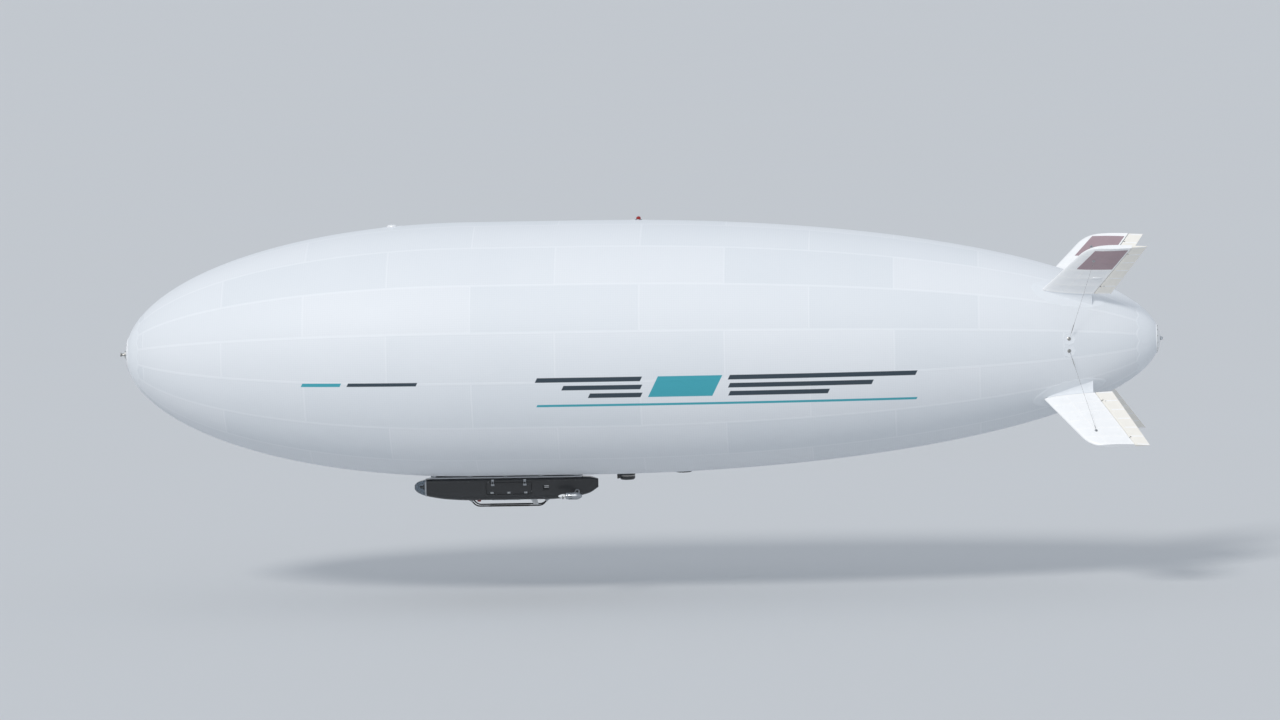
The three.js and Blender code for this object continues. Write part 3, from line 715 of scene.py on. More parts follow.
@dataclass
class Shape:
    """A piece in the making. Its methods return it, so that they follow each other in a chain."""

    finishes: Sequence[Finish] = ()
    place: Matrix = field(default_factory=Matrix)
    points: list[Vector] = field(default_factory=list)
    faces: list[tuple[int, ...]] = field(default_factory=list)
    coats: list[int] = field(default_factory=list)
    changes: list[tuple[str, dict]] = field(default_factory=list)

    def skin(self, faces: Iterable[Iterable[int]], finish: Finish | None) -> Self:
        """Adds faces.

        Args:
            faces: each face's corners, by number.
            finish: their finish, the piece's first one if none is given.

        Returns:
            The shape.
        """
        coat = self.finishes.index(finish) if finish else 0
        for corners in faces:
            self.faces.append(tuple(corners))
            self.coats.append(coat)
        return self

    def rings(
        self, rings: Sequence[Sequence[Vector]], finish: Finish | None = None, around: bool = False
    ) -> Self:
        """Skins a body through closed rings.

        Args:
            rings: rings with the same number of points, in order.
            finish: its finish.
            around: joins the last ring to the first, in place of closing both ends.

        Returns:
            The shape.
        """
        start, count, total = len(self.points), len(rings[0]), len(rings)
        faces = []
        for i in range(total if around else total - 1):
            low, high = start + i * count, start + (i + 1) % total * count
            steps = [(j, (j + 1) % count) for j in range(count)]
            faces += [(low + j, low + k, high + k, high + j) for j, k in steps]
        if not around:
            last = start + (total - 1) * count
            faces += [reversed(range(start, start + count)), range(last, last + count)]
        for ring in rings:
            self.points.extend(Vector(point) for point in ring)
        return self.skin(faces, finish)

    def turned(
        self, profile: Sequence[tuple[float, float]], place: Matrix = Matrix(), segments: int = 40,
        finish: Finish | None = None, around: bool = False, flutes: int = 0,
    ) -> Self:
        """Turns a profile about the Z axis of a place.

        Args:
            profile: rows of radius and height.
            place: where the axis stands.
            segments: steps round the axis.
            finish: its finish.
            around: the profile closes on itself and never meets the axis.
            flutes: how many soft ribs stand round it.

        Returns:
            The shape.
        """
        ring = []
        for a in (2 * pi * i / segments for i in range(segments)):
            r = 1 - 0.02 * (1 + cos(flutes * a)) if flutes else 1.0
            ring.append((r * cos(a), r * sin(a)))
        rings = [[place @ Vector((r * x, r * y, h)) for x, y in ring] for r, h in profile]
        return self.rings(rings, finish, around)

    def tube(self, path: Sequence[Row], radius: float, sides: int = 12, finish: Finish | None = None) -> Self:
        """Runs a round tube along points, with its ends closed.

        Args:
            path: the points.
            radius: the tube's radius.
            sides: steps round it.
            finish: its finish.

        Returns:
            The shape.
        """
        route = [Vector(point) for point in path]
        side = (route[1] - route[0]).orthogonal()
        turns = [2 * pi * j / sides for j in range(sides)]
        rings = []
        for i, point in enumerate(route):
            heading = (route[min(i + 1, len(route) - 1)] - route[max(i - 1, 0)]).normalized()
            side = (side - heading * side.dot(heading)).normalized()
            up = heading.cross(side)
            rings.append([point + radius * (cos(a) * side + sin(a) * up) for a in turns])
        return self.rings(rings, finish)

    def block(
        self, low: Row, high: Row, place: Matrix = Matrix(),
        finish: Finish | None = None, chamfer: float = 0.002,
    ) -> Self:
        """Adds a box with chamfered edges.

        Args:
            low: its lowest corner.
            high: its highest corner.
            place: where it stands.
            finish: its finish.
            chamfer: width of its chamfers.

        Returns:
            The shape.
        """
        (x0, y0, z0), (x1, y1, z1) = low, high
        cut = min(chamfer, 0.3 * min(x1 - x0, y1 - y0, z1 - z0))
        rings = []
        for inset, height in ((cut, z0), (0.0, z0 + cut), (0.0, z1 - cut), (cut, z1)):
            plan = rounded((x0 + inset, y0 + inset), (x1 - inset, y1 - inset), cut, cut, 1)
            rings.append([place @ Vector((x, y, height)) for x, y in plan])
        return self.rings(rings, finish)

    def screws(self, radius: float, places: Iterable[Matrix], finish: Finish = STEEL) -> Self:
        """Adds low domed screw heads.

        Args:
            radius: a head's radius.
            places: where they stand, on the Z axis.
            finish: their finish.

        Returns:
            The shape.
        """
        dome = [(radius, -0.002), (radius, 0.3 * radius), (0.75 * radius, 0.55 * radius)]
        socket = [(0.45 * radius, 0.6 * radius), (0.42 * radius, 0.25 * radius)]
        for place in places:
            self.turned([*dome, *socket], place, 12, finish)
        return self

    def mirrored(self) -> Self:
        """Adds the mirror image of all so far, across the middle plane.

        Returns:
            The shape.
        """
        count = len(self.points)
        self.points += [Vector((point.x, -point.y, point.z)) for point in self.points]
        self.faces += [tuple(count + i for i in reversed(face)) for face in self.faces]
        self.coats *= 2
        return self

    def change(self, kind: str, **settings: object) -> Self:
        """Notes a modifier, with its settings, that shapes the finished mesh."""
        self.changes.append((kind, settings))
        return self

    def cut(self, tool: Self) -> Self:
        """Notes a shape that is cut out of this one."""
        return self.change("BOOLEAN", operation="DIFFERENCE", solver="EXACT", object=tool)

    def mesh(self, name: str) -> bpy.types.Object:
        """Makes the object: meshes the shape, shapes it with its modifiers and puts it in place.

        Args:
            name: the object's name.

        Returns:
            The object.
        """
        data = bpy.data.meshes.new(name)
        data.from_pydata(self.points, [], self.faces)
        data.polygons.foreach_set("material_index", self.coats)
        made = bpy.data.objects.new(name, data)
        bpy.context.scene.collection.objects.link(made)
        settle(made)
        for kind, settings in self.changes:
            change = made.modifiers.new("change", kind)
            tools = {key: value.mesh("cutter") for key, value in settings.items() if key == "object"}
            for key, value in {**settings, **tools}.items():
                setattr(change, key, value)
            graph = bpy.context.evaluated_depsgraph_get()
            result = bpy.data.meshes.new_from_object(made.evaluated_get(graph))
            made.modifiers.clear()
            made.data = result
            for tool in tools.values():
                bpy.data.objects.remove(tool)
            settle(made)
        made.data.transform(self.place)
        settle(made)
        return made

    def dress(self, name: str, *nodes: str, body: str = AIRFRAME) -> None:
        """Makes the piece, with its finishes and its place in the frame.

        Args:
            name: the piece's name.
            nodes: the nodes that it replaces.
            body: the body that it moves with.
        """
        piece = self.mesh(name)
        for finish in self.finishes:
            piece.data.materials.append(finish.make())
        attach(piece, body)
        if nodes:
            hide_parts(*nodes)
        LOG.info("%s: %d faces on %s", name, len(piece.data.polygons), body)


@dataclass(frozen=True)
class Hull:
    """The envelope: half an ellipsoid, a cylinder and half an ellipsoid, in sixteen gores."""

    radius: float = 2.208
    nose: float = 6.05
    middle: float = 2.12
    tail: float = 9.83
    front: float = 8.5
    skin: float = 0.010
    hole: float = 0.13
    gores: int = 16
    bulge: float = 0.0035
    steps_round: int = 192
    patch: float = 0.002
    webbing: float = 0.0042
    webbing_width: float = 0.038

    @property
    def shoulder(self) -> float:
        """Where the nose's curve meets the long middle."""
        return self.front - self.nose

    @property
    def waist(self) -> float:
        """Where the long middle meets the tail's curve."""
        return self.shoulder - self.middle

    def radius_at(self, x: float) -> float:
        """The hull's plain radius at a place along its axis."""
        part = max((x - self.shoulder) / self.nose, (self.waist - x) / self.tail, 0.0)
        return self.radius * sqrt(max(0.0, 1 - part**2))

    def axial(self, radius: float, end: int, out: float = 0.0) -> float:
        """Where one end, 1 at the nose and -1 at the tail, has a radius, or a distance out from it."""
        start, length = (self.shoulder, self.nose) if end > 0 else (self.waist, self.tail)
        return start + end * (length * sqrt(max(0.0, 1 - (radius / self.radius) ** 2)) + out)

    def normal(self, x: float, angle: float) -> Vector:
        """The direction straight out of the hull."""
        slope = (self.radius_at(x + 0.01) - self.radius_at(x - 0.01)) / 0.02
        return Vector((-slope, sin(radians(angle)), cos(radians(angle)))).normalized()

    def point(self, x: float, angle: float, out: float = 0.0) -> Vector:
        """A point on the fabric, or a distance out from it.

        Args:
            x: place along the axis.
            angle: degrees from the top towards port.
            out: distance along the normal.

        Returns:
            The point.
        """
        a = radians(angle)
        plain = self.radius_at(x)
        cell = (angle * self.gores / 360 + 0.5) % 1 - 0.5
        radius = plain + self.bulge * (1 - 4 * cell * cell) * plain / self.radius
        return Vector((x, radius * sin(a), radius * cos(a))) + out * self.normal(x, angle)

    def place(self, x: float, angle: float) -> Matrix:
        """A place on the fabric: Z straight out and X towards the nose."""
        return aim(self.point(x, angle), self.normal(x, angle), (1, 0, 0))

    def stations(self, nose_steps: int, middle_steps: int, tail_steps: int) -> list[float]:
        """Places along the axis, close together where the ends curve most.

        Args:
            nose_steps: steps in the nose's curve.
            middle_steps: steps in the long middle.
            tail_steps: steps in the tail's curve.

        Returns:
            The places, from the nose to the tail.
        """
        edge = asin(self.hole / self.radius)
        nose, tail = (
            [cos(edge + (pi / 2 - edge) * i / steps) for i in range(steps + 1)]
            for steps in (nose_steps, tail_steps)
        )
        rows = [self.shoulder + self.nose * part for part in nose[:-1]]
        rows += [self.shoulder - self.middle * i / middle_steps for i in range(middle_steps)]
        return rows + [self.waist - self.tail * part for part in reversed(tail)]

    def lay_patch(
        self, shape: Shape, x: float, angle: float, edge: Callable[[float], float], steps: int = 48
    ) -> Shape:
        """Lays a closed patch of doubled cloth on the hull.

        Args:
            shape: the shape that gets it.
            x: its middle along the axis.
            angle: its middle round the hull.
            edge: distance of the edge from the middle, by direction in radians from the nose.
            steps: points round the edge.

        Returns:
            The shape.
        """
        count = max(3, ceil(max(edge(0), edge(pi / 2)) / 0.09))
        rows = [(0.02 + 0.88 * k / count, self.patch) for k in range(count + 1)]
        rows += [(0.92, self.patch + 0.0012), (0.94, self.patch), (0.985, self.patch), (1.0, 0.0005)]
        rows += [(1.0, -0.006), (0.5, -0.006), (0.02, -0.006)]
        spots = []
        for a in (2 * pi * i / steps for i in range(steps)):
            spots.append((edge(a) * cos(a), degrees(edge(a) * sin(a) / self.radius_at(x))))
        return shape.rings(
            [[self.point(x + part * ahead, angle + part * around, out) for ahead, around in spots]
             for part, out in rows]
        )

    def lay_band(self, shape: Shape, start: tuple[float, float], end: tuple[float, float]) -> Shape:
        """Lays a band of webbing on the hull.

        Args:
            shape: the shape that gets it.
            start: place along the hull and degrees from the top where it starts.
            end: the same where it ends.

        Returns:
            The shape.
        """
        steps = 12
        tall = self.webbing
        dx = end[0] - start[0]
        arc = radians(end[1] - start[1]) * self.radius_at(start[0])
        length = hypot(dx, arc)
        section = ((-1, -0.004), (1, -0.004), (1, 0.6 * tall), (0.9, tall), (-0.9, tall), (-1, 0.6 * tall))
        rings = []
        for i in range(steps + 1):
            x, angle = between(start, end, i / steps)
            half = self.webbing_width / 2 * (0.6 if i in (0, steps) else 1.0)
            ring = []
            for side, out in section:
                turn = degrees(side * half * dx / length / self.radius_at(x))
                ring.append(self.point(x - side * half * arc / length, angle + turn, out))
            rings.append(ring)
        return shape.rings(rings)

    def build(self) -> None:
        """Makes the envelope's skin, a thin shell with its end openings."""
        angles = [360 * i / self.steps_round for i in range(self.steps_round)]
        rows = [(x, 0.0) for x in self.stations(60, 10, 90)]
        rows += [(x, -self.skin) for x in reversed(self.stations(10, 2, 14))]
        rings = [[self.point(x, angle, out) for angle in angles] for x, out in rows]
        Shape([HULL_FABRIC]).rings(rings, around=True).dress("envelope_skin", "envelope")


HULL = Hull()


@dataclass(frozen=True)
class EndFittings:
    """Nose dish and mooring spindle, tail dish and tail light."""

    reaches: tuple = (("nose", 1, 0.300), ("tail", -1, 0.260))
    plate: float = 0.012
    overlap: float = 0.04
    spindle_rows: tuple = (
        (68, 0), (70, 2), (70, 9), (67, 11.5), (34, 13), (27, 18), (23.5, 30), (22, 60), (24, 68),
        (30, 73), (37.5, 77), (38, 80), (38, 85), (36, 88.5),
    )

    def dish(self, name: str, end: int, reach: float) -> None:
        """Makes a gelcoated dish over one end of the hull, with a rolled rim and bolts.

        Args:
            name: the end's name.
            end: 1 at the nose and -1 at the tail.
            reach: radius of the rim.
        """
        face = [(part, self.plate) for part in (0.05, 0.25, 0.5, 0.75, 0.93)]
        under = [(part, 0.001) for part in (1.0, 0.8, 0.5, 0.25, 0.05)]
        rows = [*face, (0.97, 0.017), (1.0, self.plate), *under]
        profile = [(part * reach, end * HULL.axial(part * reach, end, out)) for part, out in rows]
        place = spin(90 * end, "Y")
        ring = 0.86 * reach
        bolts = circle(place, 12, ring, end * HULL.axial(ring, end, self.plate))
        shape = Shape([GELCOAT, STEEL]).turned(profile, place, 96).screws(0.009, bolts)
        shape.dress(f"{name}_dish_gelcoat", f"{name}_dish")

    def collar(self, name: str, end: int, reach: float) -> None:
        """Lays a doubled ring of cloth round a dish, with a scalloped edge.

        Args:
            name: the end's name.
            end: 1 at the nose and -1 at the tail.
            reach: radius of the dish.
        """
        flat = [(k / 14, 0.0022) for k in range(14)]
        hem = ((0.955, 0.0036), (0.985, 0.0036), (1.0, 0.0008))
        under = ((1.0, -0.004), (0.5, -0.006), (0.0, -0.004))
        rings = []
        for part, out in (*flat, *hem, *under):
            ring = []
            for angle in (360 * i / 192 for i in range(192)):
                width = 0.38 + 0.035 * abs(sin(radians(8 * angle)))
                x = HULL.axial(reach - self.overlap + part * width, end)
                ring.append(HULL.point(x, angle, out))
            rings.append(ring)
        Shape([PATCH_FABRIC]).rings(rings, around=True).dress(f"{name}_collar")

    def spindle(self) -> None:
        """Makes the mooring spindle that a mast's cup takes."""
        low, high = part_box("mooring_spindle")
        place = shift(low.x, 0, 0) @ spin(90, "Y")
        profile = [*mm(*self.spindle_rows), (0.030, high.x - low.x)]
        shape = Shape([STEEL]).turned(profile, place, 64)
        shape.screws(0.006, circle(place, 6, 0.052, 0.0118, 0))
        shape.dress("mooring_spindle_steel", "mooring_spindle")

    def tail_light(self) -> None:
        """Makes the white tail light: alloy base, clear dome."""
        low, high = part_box("tail_light")
        place = shift(high.x, 0, 0) @ spin(-90, "Y")
        shape = Shape([CLEAR_LENS, ALLOY])
        shape.turned(mm((34, 0), (34, 10), (31, 13), (5, 13)), place, finish=ALLOY)
        dome = mm((30, 13.5), (29, 26), (24, 36), (14, 44)) + [(0.003, high.x - low.x)]
        shape.turned(dome, place).dress("tail_light_dome", "tail_light")

    def build(self) -> None:
        """Builds both ends."""
        for name, end, reach in self.reaches:
            self.dish(name, end, reach)
        for name, end, reach in self.reaches:
            self.collar(name, end, reach)
        self.spindle()
        self.tail_light()


@dataclass(frozen=True)
class Fin:
    """One fin of the X tail, with its moving surface, root skirt and stays.

    It is made upright on the hull's top and then turned to its place. A chord is a part of the way
    from the leading to the trailing edge, and a span a part of the way from the root to the tip.
    """

    name: str
    angle: float
    root_lead: tuple = (-7.480, 1.346)
    root_trail: tuple = (-8.650, 1.190)
    tip_lead: tuple = (-8.260, 2.410)
    tip_trail: tuple = (-9.270, 2.410)
    thickness: float = 0.085
    hinge: float = 0.77
    hinge_gap: float = 0.009
    corner: float = 0.190
    trail_half: float = 0.003
    ribs: int = 6
    steps: int = 48
    scallop: float = 0.0045
    hinge_spans: tuple = (0.15, 0.85)
    stay_chord: float = 0.3
    stay_span: float = 0.72
    stay_spread: float = 40.0
    stay_x: float = -7.920
    # Columns: part of its length, half width, height
    blister_rows: tuple = (
        (0, 0.004, 0.004), (0.15, 0.022, 0.012), (0.5, 0.032, 0.019), (0.8, 0.026, 0.014), (1, 0.006, 0.004),
    )
    blister_chords: tuple = (0.52, 0.17)
    blister_span: float = 0.34
    dusk_chords: tuple = (0.16, 0.715)
    dusk_spans: tuple = (0.53, 0.945)

    @property
    def turn(self) -> Matrix:
        """Turns the fin from straight up to its place."""
        return spin(-self.angle, "X")

    def spot(self, chord: float, span: float) -> tuple[float, float]:
        """Finds a point of the fin's plan.

        Args:
            chord: its chord.
            span: its span.

        Returns:
            Its place along the axis and its distance from the axis.
        """
        lead = between(self.root_lead, self.tip_lead, span)
        trail = between(self.root_trail, self.tip_trail, span)
        return tuple(between(lead, trail, chord))

    def chord_length(self, span: float) -> float:
        """Length of the section at a part of the span."""
        return self.spot(0, span)[0] - self.spot(1, span)[0]

    def half(self, chord: float, span: float) -> float:
        """Half thickness of the section, a symmetric aerofoil."""
        section = aerofoil(max(chord, 0.0), 0.1015)
        return max(5 * self.thickness * section * self.chord_length(span), self.trail_half)

    def corner_cut(self, span: float) -> float:
        """Finds how far the round tip corner moves the leading edge back.

        Args:
            span: its span.

        Returns:
            The distance, as part of the root's chord.
        """
        height = (1 - span) * (self.tip_lead[1] - self.root_lead[1])
        inside = max(0.0, 1 - height / self.corner)
        return self.corner * (1 - sqrt(max(0.0, 1 - inside**2))) / self.chord_length(0)

    def ripple(self, span: float) -> float:
        """How far the film has dipped from 0 at a rib to 1 between two."""
        return sin(pi * span * self.ribs) ** 2

    def film(self, chord: float, span: float, facing: int, out: float = 0.0) -> Vector:
        """A point on the fixed fin's film, which dips between the ribs behind its sheeted front.

        Args:
            chord: its chord.
            span: its span.
            facing: 1 on one face and -1 on the other.
            out: distance out from the film.

        Returns:
            The point.
        """
        behind = min(1.0, max(0.0, (chord - 0.14) / 0.1)) * min(1.0, max(0.0, (0.74 - chord) / 0.05))
        deep = self.half(chord - self.corner_cut(span), span) - self.scallop * self.ripple(span) * behind
        x, z = self.spot(chord, span)
        return Vector((x, facing * (deep + out), z))

    def flap(self, part: float, span: float, facing: int, out: float = 0.0, dip: float = 0.0) -> Vector:
        """A point on the moving surface.

        Args:
            part: part of the way from the hinge line to the trailing edge.
            span: its span.
            facing: 1 on one face and -1 on the other.
            out: distance out from the film.
            dip: how far the film dips there.

        Returns:
            The point.
        """
        x, z = self.spot(self.hinge + (1 - self.hinge) * part, span)
        half = self.half(self.hinge, span)
        thin = max(half + (self.trail_half - half) * part - dip, self.trail_half)
        return Vector((x, facing * (thin + out), z))

    def hinge_line(self, span: float) -> Matrix:
        """The place of a hinge: X forward, Y across the fin and Z along the hinge line."""
        (x0, z0), (x1, z1), (x, z) = (self.spot(self.hinge, part) for part in (0, 1, span))
        return aim((x, 0, z), (x1 - x0, 0, z1 - z0), (1, 0, 0))

    def panel(self) -> None:
        """Makes the fixed fin ahead of the hinge, with its round tip corner."""
        rings = []
        spans = {i / self.steps for i in range(self.steps + 1)} | {0.9, 0.93, 0.96, 0.975, 0.985, 0.995}
        eased = [1 - cos(pi / 2 * i / 30) for i in range(1, 31)]
        for span in sorted(spans):
            front = self.corner_cut(span)
            back = self.hinge - (self.half(self.hinge, span) + self.hinge_gap) / self.chord_length(span)
            chords = [front + (back - front) * part for part in eased]
            x, z = self.spot(front, span)
            near = [self.film(chord, span, 1) for chord in chords]
            far = [self.film(chord, span, -1) for chord in reversed(chords)]
            rings.append([Vector((x, 0, z)), *near, *far])
        Shape([FIN_FILM], self.turn).rings(rings).dress(f"fin_{self.name}_film", f"fin_{self.name}")

    def film_tape(self, shape: Shape, start: Row, end: Row, half: float, steps: int) -> None:
        """Sticks a thin tape over each face of the fixed fin.

        Args:
            shape: the shape that gets them.
            start: the chord and span where they start.
            end: the same where they end.
            half: half of their width.
            steps: steps along them.
        """
        length = self.tip_lead[1] - self.root_lead[1]
        along = start[1] == end[1]
        for facing in (1, -1):
            rings = []
            for i in range(steps + 1):
                chord, span = between(start, end, i / steps)
                ring = []
                for side, out in tape_section(0.85):
                    c = chord if along else chord + side * half / self.chord_length(span)
                    s = span + side * half / length if along else span
                    ring.append(self.film(c, min(max(s, 0.004), 0.996), facing, out))
                rings.append(ring)
            shape.rings(rings)

    def tapes(self) -> None:
        """Covers the ribs, the spar and the sheeted front edge with film tape, on both sides."""
        shape = Shape([TAPE_FILM], self.turn)
        for k in range(self.ribs + 1):
            span = min(max(k / self.ribs, 0.012), 0.988)
            front = 0.03 + 1.05 * self.corner_cut(span)
            self.film_tape(shape, (front, span), (0.735, span), 0.011, 22)
        for chord, half in ((0.30, 0.016), (0.72, 0.011)):
            self.film_tape(shape, (chord, 0.02), (chord, 0.98), half, 60)
        shape.dress(f"fin_tapes_{self.name}")

    def fittings(self) -> None:
        """Adds the hinge lugs, the stays' washers and the servo's blister to the fixed fin."""
        shape = Shape([ALLOY], self.turn)
        for place in map(self.hinge_line, self.hinge_spans):
            shape.block((0.008, -0.011, -0.007), (0.062, 0.011, 0.007), place, chamfer=0.0015)
            shape.turned(mm((5.5, -7), (11, -7), (11, 7), (5.5, 7)), place, 24, around=True)
        x, z = self.spot(self.stay_chord, self.stay_span)
        out = self.half(self.stay_chord, self.stay_span) - 0.002
        washer = mm((26, 0), (26, 3), (22, 5), (7.5, 5), (7.5, 0))
        for facing in (1, -1):
            shape.turned(washer, aim((x, facing * out, z), (0, facing, 0)), 32, around=True)
        shape.dress(f"fin_fittings_{self.name}")
        first, length = self.blister_chords
        arc = [pi * i / 12 for i in range(13)]
        rings = []
        for part, width, tall in self.blister_rows:
            chord = first + length * part
            x, z = self.spot(chord, self.blister_span)
            base = self.half(chord, self.blister_span) - 0.004
            rings.append([Vector((x, base + tall * sin(a), z + width * cos(a))) for a in arc])
        Shape([GELCOAT], self.turn).rings(rings).dress(f"servo_blister_{self.name}")

    def surface(self) -> None:
        """Makes the moving surface behind the hinge, slotted for the hinge lugs."""
        nose = [radians(90 + 180 * k / 14) for k in range(15)]
        rings = []
        for span in (i / self.steps for i in range(self.steps + 1)):
            x, z = self.spot(self.hinge, span)
            half = self.half(self.hinge, span)
            row = [Vector((x - half * cos(a), half * sin(a), z)) for a in nose]
            for facing, parts in ((-1, (0.3, 0.6, 0.85, 1)), (1, (1, 0.85, 0.6, 0.3))):
                for part in parts:
                    dip = 0.7 * self.scallop * self.ripple(span) if part < 0.8 else 0.0
                    row.append(self.flap(part, span, facing, dip=dip))
            rings.append(row)
        shape = Shape([SURFACE_FILM], self.turn).rings(rings)
        for place in map(self.hinge_line, self.hinge_spans):
            shape.cut(Shape().block((-0.020, -0.05, -0.010), (0.08, 0.05, 0.010), place, chamfer=0.0002))
        body = f"ruddervator_{self.name}"
        shape.dress(f"{body}_film", body, body=body)

    def surface_fittings(self) -> None:
        """Adds the rib tapes, the hinge pins and the horn to the moving surface."""
        body = f"ruddervator_{self.name}"
        shape = Shape([TAPE_FILM], self.turn)
        for facing in (1, -1):
            for k in range(self.ribs + 1):
                span = min(max(k / self.ribs, 0.015), 0.985)
                rings = []
                for part in (0.12 + 0.83 * i / 10 for i in range(11)):
                    ring = [(self.flap(part, span, facing, out), side) for side, out in tape_section(0.8)]
                    rings.append([point + Vector((0, 0, side * 0.010)) for point, side in ring])
                shape.rings(rings)
        shape.dress(f"ruddervator_tapes_{self.name}", body=body)
        pins = Shape([STEEL], self.turn)
        places = [self.hinge_line(span) for span in self.hinge_spans]
        for place in places:
            pins.turned(mm((4.9, -16.5), (4.9, 16.5)), place, 20)
        pins.block((-0.050, -0.030, 0.040), (-0.028, 0.030, 0.044), places[0], chamfer=0.001)
        pins.dress(f"hinge_pins_{self.name}", body=body)

    def skirt(self) -> None:
        """Makes the cloth fillet that closes the wedge under the fin's root."""
        rings = []
        for i in range(27):
            chord = 0.05 + 0.67 * i / 26
            x, top = self.spot(chord, 0)
            top -= 0.001
            base = HULL.radius_at(x)
            low = base - 0.012
            flare = 0.028 + 0.36 * (top - base)
            wide = self.half(chord, 0) + 0.004
            side = [(wide + flare * (k / 8) ** 2.2, top + (low - top) * k / 8) for k in range(8)]
            foot = wide + flare
            side.append((foot, min(sqrt(max(base**2 - foot**2, 0.01)) - 0.008, low)))
            near = [Vector((x, y, z)) for y, z in side]
            rings.append([*near, *(Vector((x, -y, z)) for y, z in reversed(side))])
        last = rings[-1]
        middle = len(last) // 2
        shape = Shape([PATCH_FABRIC], self.turn).rings(rings)
        shape.tube(last[:middle], 0.0055, 10).tube(last[middle:], 0.0055, 10)
        for edge in (0, -1):
            shape.tube([ring[edge] for ring in rings], 0.004, 8)
        shape.dress(f"fin_skirt_{self.name}", f"fin_fillet_{self.name}")

    def doubler(self) -> None:
        """Lays the doubled cloth that spreads the fin's load into the hull."""
        shape = Shape([PATCH_FABRIC], self.turn)
        middle = (self.spot(0, 0)[0] + self.spot(0.75, 0)[0]) / 2
        HULL.lay_patch(shape, middle, 0, lobed(0.62, 0.27, 0.012, 10), 96)
        for angle in (self.stay_spread, -self.stay_spread):
            HULL.lay_patch(shape, self.stay_x, angle, lobed(0.105, 0.105, 0.006, 8))
        shape.dress(f"fin_doublers_{self.name}")

    def stays(self) -> None:
        """Makes the two wire stays with their turnbuckles, feet and pin."""
        shape = Shape([STEEL], self.turn)
        x, z = self.spot(self.stay_chord, self.stay_span)
        out = self.half(self.stay_chord, self.stay_span) + 0.010
        shape.tube([(x, -out - 0.004, z), (x, out + 0.004, z)], 0.006, 20)
        for facing in (1, -1):
            start = Vector((x, facing * out, z))
            foot = HULL.place(self.stay_x, facing * self.stay_spread)
            run = foot @ Vector((0, 0, 0.022)) - start
            shape.tube([start, start + run], 0.0022, 8)
            for part, length, thick in ((0.04, 0.05, 0.0045), (0.86, 0.11, 0.0065), (0.86, 0.19, 0.004)):
                middle, reach = start + run * part, run.normalized() * length / 2
                shape.tube([middle - reach, middle + reach], thick)
            shape.turned(mm((34, -4), (34, 3), (30, 5.5), (4, 5.5)), foot, 32)
            shape.block((-0.006, -0.003, 0.004), (0.006, 0.003, 0.030), foot, chamfer=0.001)
            shape.screws(0.004, circle(foot, 4, 0.024, 0.005))
        shape.dress(f"fin_stay_wires_{self.name}", f"fin_stays_{self.name}")

    def dusk_panel(self) -> None:
        """Adds the plain duskier panels on the outer half of an upper fin, one on each face."""
        columns, rows, proud = 14, 50, 0.0026
        shape = Shape([DUSK_FILM], self.turn)
        for facing in (1, -1):
            base = len(shape.points)
            for k in range(rows + 1):
                span = self.dusk_spans[0] + (self.dusk_spans[1] - self.dusk_spans[0]) * k / rows
                for i in range(columns + 1):
                    chord = self.dusk_chords[0] + (self.dusk_chords[1] - self.dusk_chords[0]) * i / columns
                    shape.points.append(self.film(chord, span, facing, proud))
            corners = [base + k * (columns + 1) + i for k in range(rows) for i in range(columns)]
            shape.skin([(a, a + 1, a + columns + 2, a + columns + 1) for a in corners], None)
        shape.change("SOLIDIFY", thickness=0.003).dress(f"dusk_panel_{self.name}")

    def build(self) -> None:
        """Builds the whole fin."""
        self.panel()
        self.tapes()
        self.fittings()
        self.surface()
        self.surface_fittings()
        self.skirt()
        self.doubler()
        self.stays()
        if self.name.endswith("upper"):
            self.dusk_panel()


